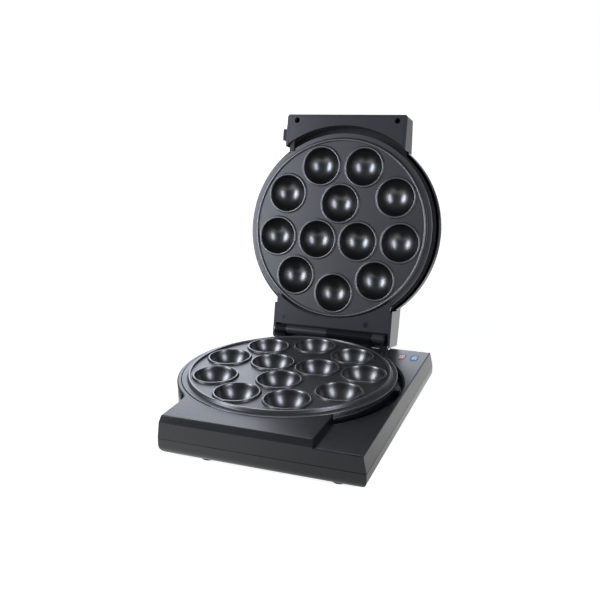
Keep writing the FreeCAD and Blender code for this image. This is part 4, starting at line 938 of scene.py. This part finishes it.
@dataclass
class Studio:
    """Pale floor, white surroundings, soft lamps and the camera."""

    camera_place: Point = (0.26784, -0.65293, 0.31925)
    camera_right: Point = (0.93249, 0.36088, -0.01496)
    camera_up: Point = (-0.08779, 0.26664, 0.95979)
    camera_ahead: Point = (-0.35036, 0.89368, -0.28032)
    focal_length: float = 46.17
    floor_half: float = 6.0
    lamps: List[SoftBox] = field(default_factory=lambda: [
        SoftBox("softbox_left", (-0.68, -0.63, 0.38), (0.0, 0.09, 0.16), (0.36, 0.95), 9.5),
        SoftBox("softbox_right", (0.81, -0.47, 0.38), (0.0, 0.09, 0.16), (0.30, 0.95), 6.0),
    ])

    def build(self) -> None:
        """Set the stage."""
        self._camera()
        self._floor()
        self._world()
        for lamp in self.lamps:
            lamp.build()
        bpy.context.scene.view_settings.view_transform = "Standard"

    def _camera(self) -> None:
        """Place the camera."""
        bpy.ops.object.camera_add()
        camera = bpy.context.object
        camera.name = "camera"
        right, up, ahead = (Vector(v) for v in (self.camera_right, self.camera_up, self.camera_ahead))
        turn = Matrix((right, up, -ahead)).transposed().to_4x4()
        camera.matrix_world = LAYOUT.base @ Matrix.Translation(self.camera_place) @ turn
        camera.data.lens = self.focal_length
        camera.data.clip_start = 0.01
        bpy.context.scene.camera = camera

    def _floor(self) -> None:
        """A pale floor that reads as white and keeps the contact shadow."""
        bpy.ops.mesh.primitive_plane_add(size=2 * self.floor_half)
        floor = bpy.context.object
        floor.name = "floor"
        made = bpy.data.materials.new("pale_floor")
        made.use_nodes = True
        graph = Graph(made.node_tree)
        seen = graph.node("ShaderNodeLightPath", output="Is Camera Ray")
        mirrored = graph.node("ShaderNodeLightPath", output="Is Glossy Ray")
        through = graph.node("ShaderNodeLightPath", output="Is Transmission Ray")
        grain = graph.noise(30.0, 2.0)
        white = graph.blend(grain, (0.82, 0.82, 0.82), (0.80, 0.80, 0.80))
        paint = graph.node("ShaderNodeBsdfPrincipled", {}, {
            "Base Color": graph.blend(mirrored, white, (0.12, 0.12, 0.12)), "Roughness": 0.9})
        spot = graph.node("ShaderNodeTexCoord", output="Object")
        reach = graph.node("ShaderNodeVectorMath", {"operation": "LENGTH"}, {0: spot}, "Value")
        near_to_far = graph.ramp(reach / 1.6, ((0.2, 0.80), (0.8, 1.0)))
        way = graph.node("ShaderNodeVectorMath", {"operation": "NORMALIZE"}, {0: spot})
        front_left = graph.lobe(way, (-0.5, -0.87, 0.0), 3.0) * 0.9
        right = graph.lobe(way, (0.98, 0.2, 0.0), 1.5) * 0.8
        sheen = front_left + right + 0.4
        near = graph.ramp(reach, ((0.34, 1.0), (0.55, 0.12)))
        behind = graph.lobe(way, (0.05, 0.999, 0.0), 3.0) * 0.45
        strength = seen * near_to_far + mirrored * (sheen * near + behind) + through
        glow = graph.node("ShaderNodeEmission", {}, {"Color": (1.0, 1.0, 1.0, 1.0), "Strength": strength})
        both = graph.node("ShaderNodeAddShader", {}, {0: paint, 1: glow})
        graph.node("ShaderNodeOutputMaterial", {}, {"Surface": both})
        floor.data.materials.append(made)

    def _world(self) -> None:
        """White where it is seen or mirrored, dimmer as plain light."""
        world = bpy.data.worlds.new("studio")
        bpy.context.scene.world = world
        world.use_nodes = True
        graph = Graph(world.node_tree)
        seen = graph.node("ShaderNodeLightPath", output="Is Camera Ray")
        mirrored = graph.node("ShaderNodeLightPath", output="Is Glossy Ray")
        through = graph.node("ShaderNodeLightPath", output="Is Transmission Ray")
        heading = graph.node("ShaderNodeTexCoord", output="Generated")
        front = graph.lobe(heading, (-0.33, -0.88, 0.34), 9.0) * 0.2
        back_glow = graph.lobe(heading, (-0.42, 0.90, 0.10), 20.0) * 4.5
        back_haze = graph.lobe(heading, (-0.41, 0.875, 0.26), 6.0) * 0.9
        straight_back = graph.lobe(heading, (0.08, 0.995, 0.05), 14.0) * 0.45
        back = back_glow + back_haze + straight_back
        overhead = graph.lobe(heading, (0.0, 0.0, 1.0), 2.0) * 0.15
        ridge = graph.lobe(heading, (-0.32, 0.60, 0.733), 60.0) * 6.0
        above = overhead + ridge
        plain = (1.0 - mirrored) * 0.12
        strength = seen.at_least(through).at_least(mirrored * (front + back + above + 0.04)).at_least(plain)
        tint = graph.blend(seen.at_least(through), COOL_WHITE, (1.0, 1.0, 1.0))
        light = graph.node("ShaderNodeBackground", {}, {"Color": tint, "Strength": strength})
        graph.node("ShaderNodeOutputWorld", {}, {"Surface": light})


def main() -> None:
    """Build everything in order and log each step."""
    logging.basicConfig(level=logging.INFO, format="%(message)s")
    bpy.ops.object.select_all(action="DESELECT")
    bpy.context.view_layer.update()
    Studio().build()
    LOG.info("studio ready")
    for piece in [*baking_plates(), LidCover(), *lamp_lenses()]:
        LOG.info("modelled %s", piece.build().name)
    for name, finish in NODE_FINISHES.items():
        dress(frame["nodes"][name], finish)
    LOG.info("dressed %d nodes", len(NODE_FINISHES))


if __name__ == "__main__":
    main()
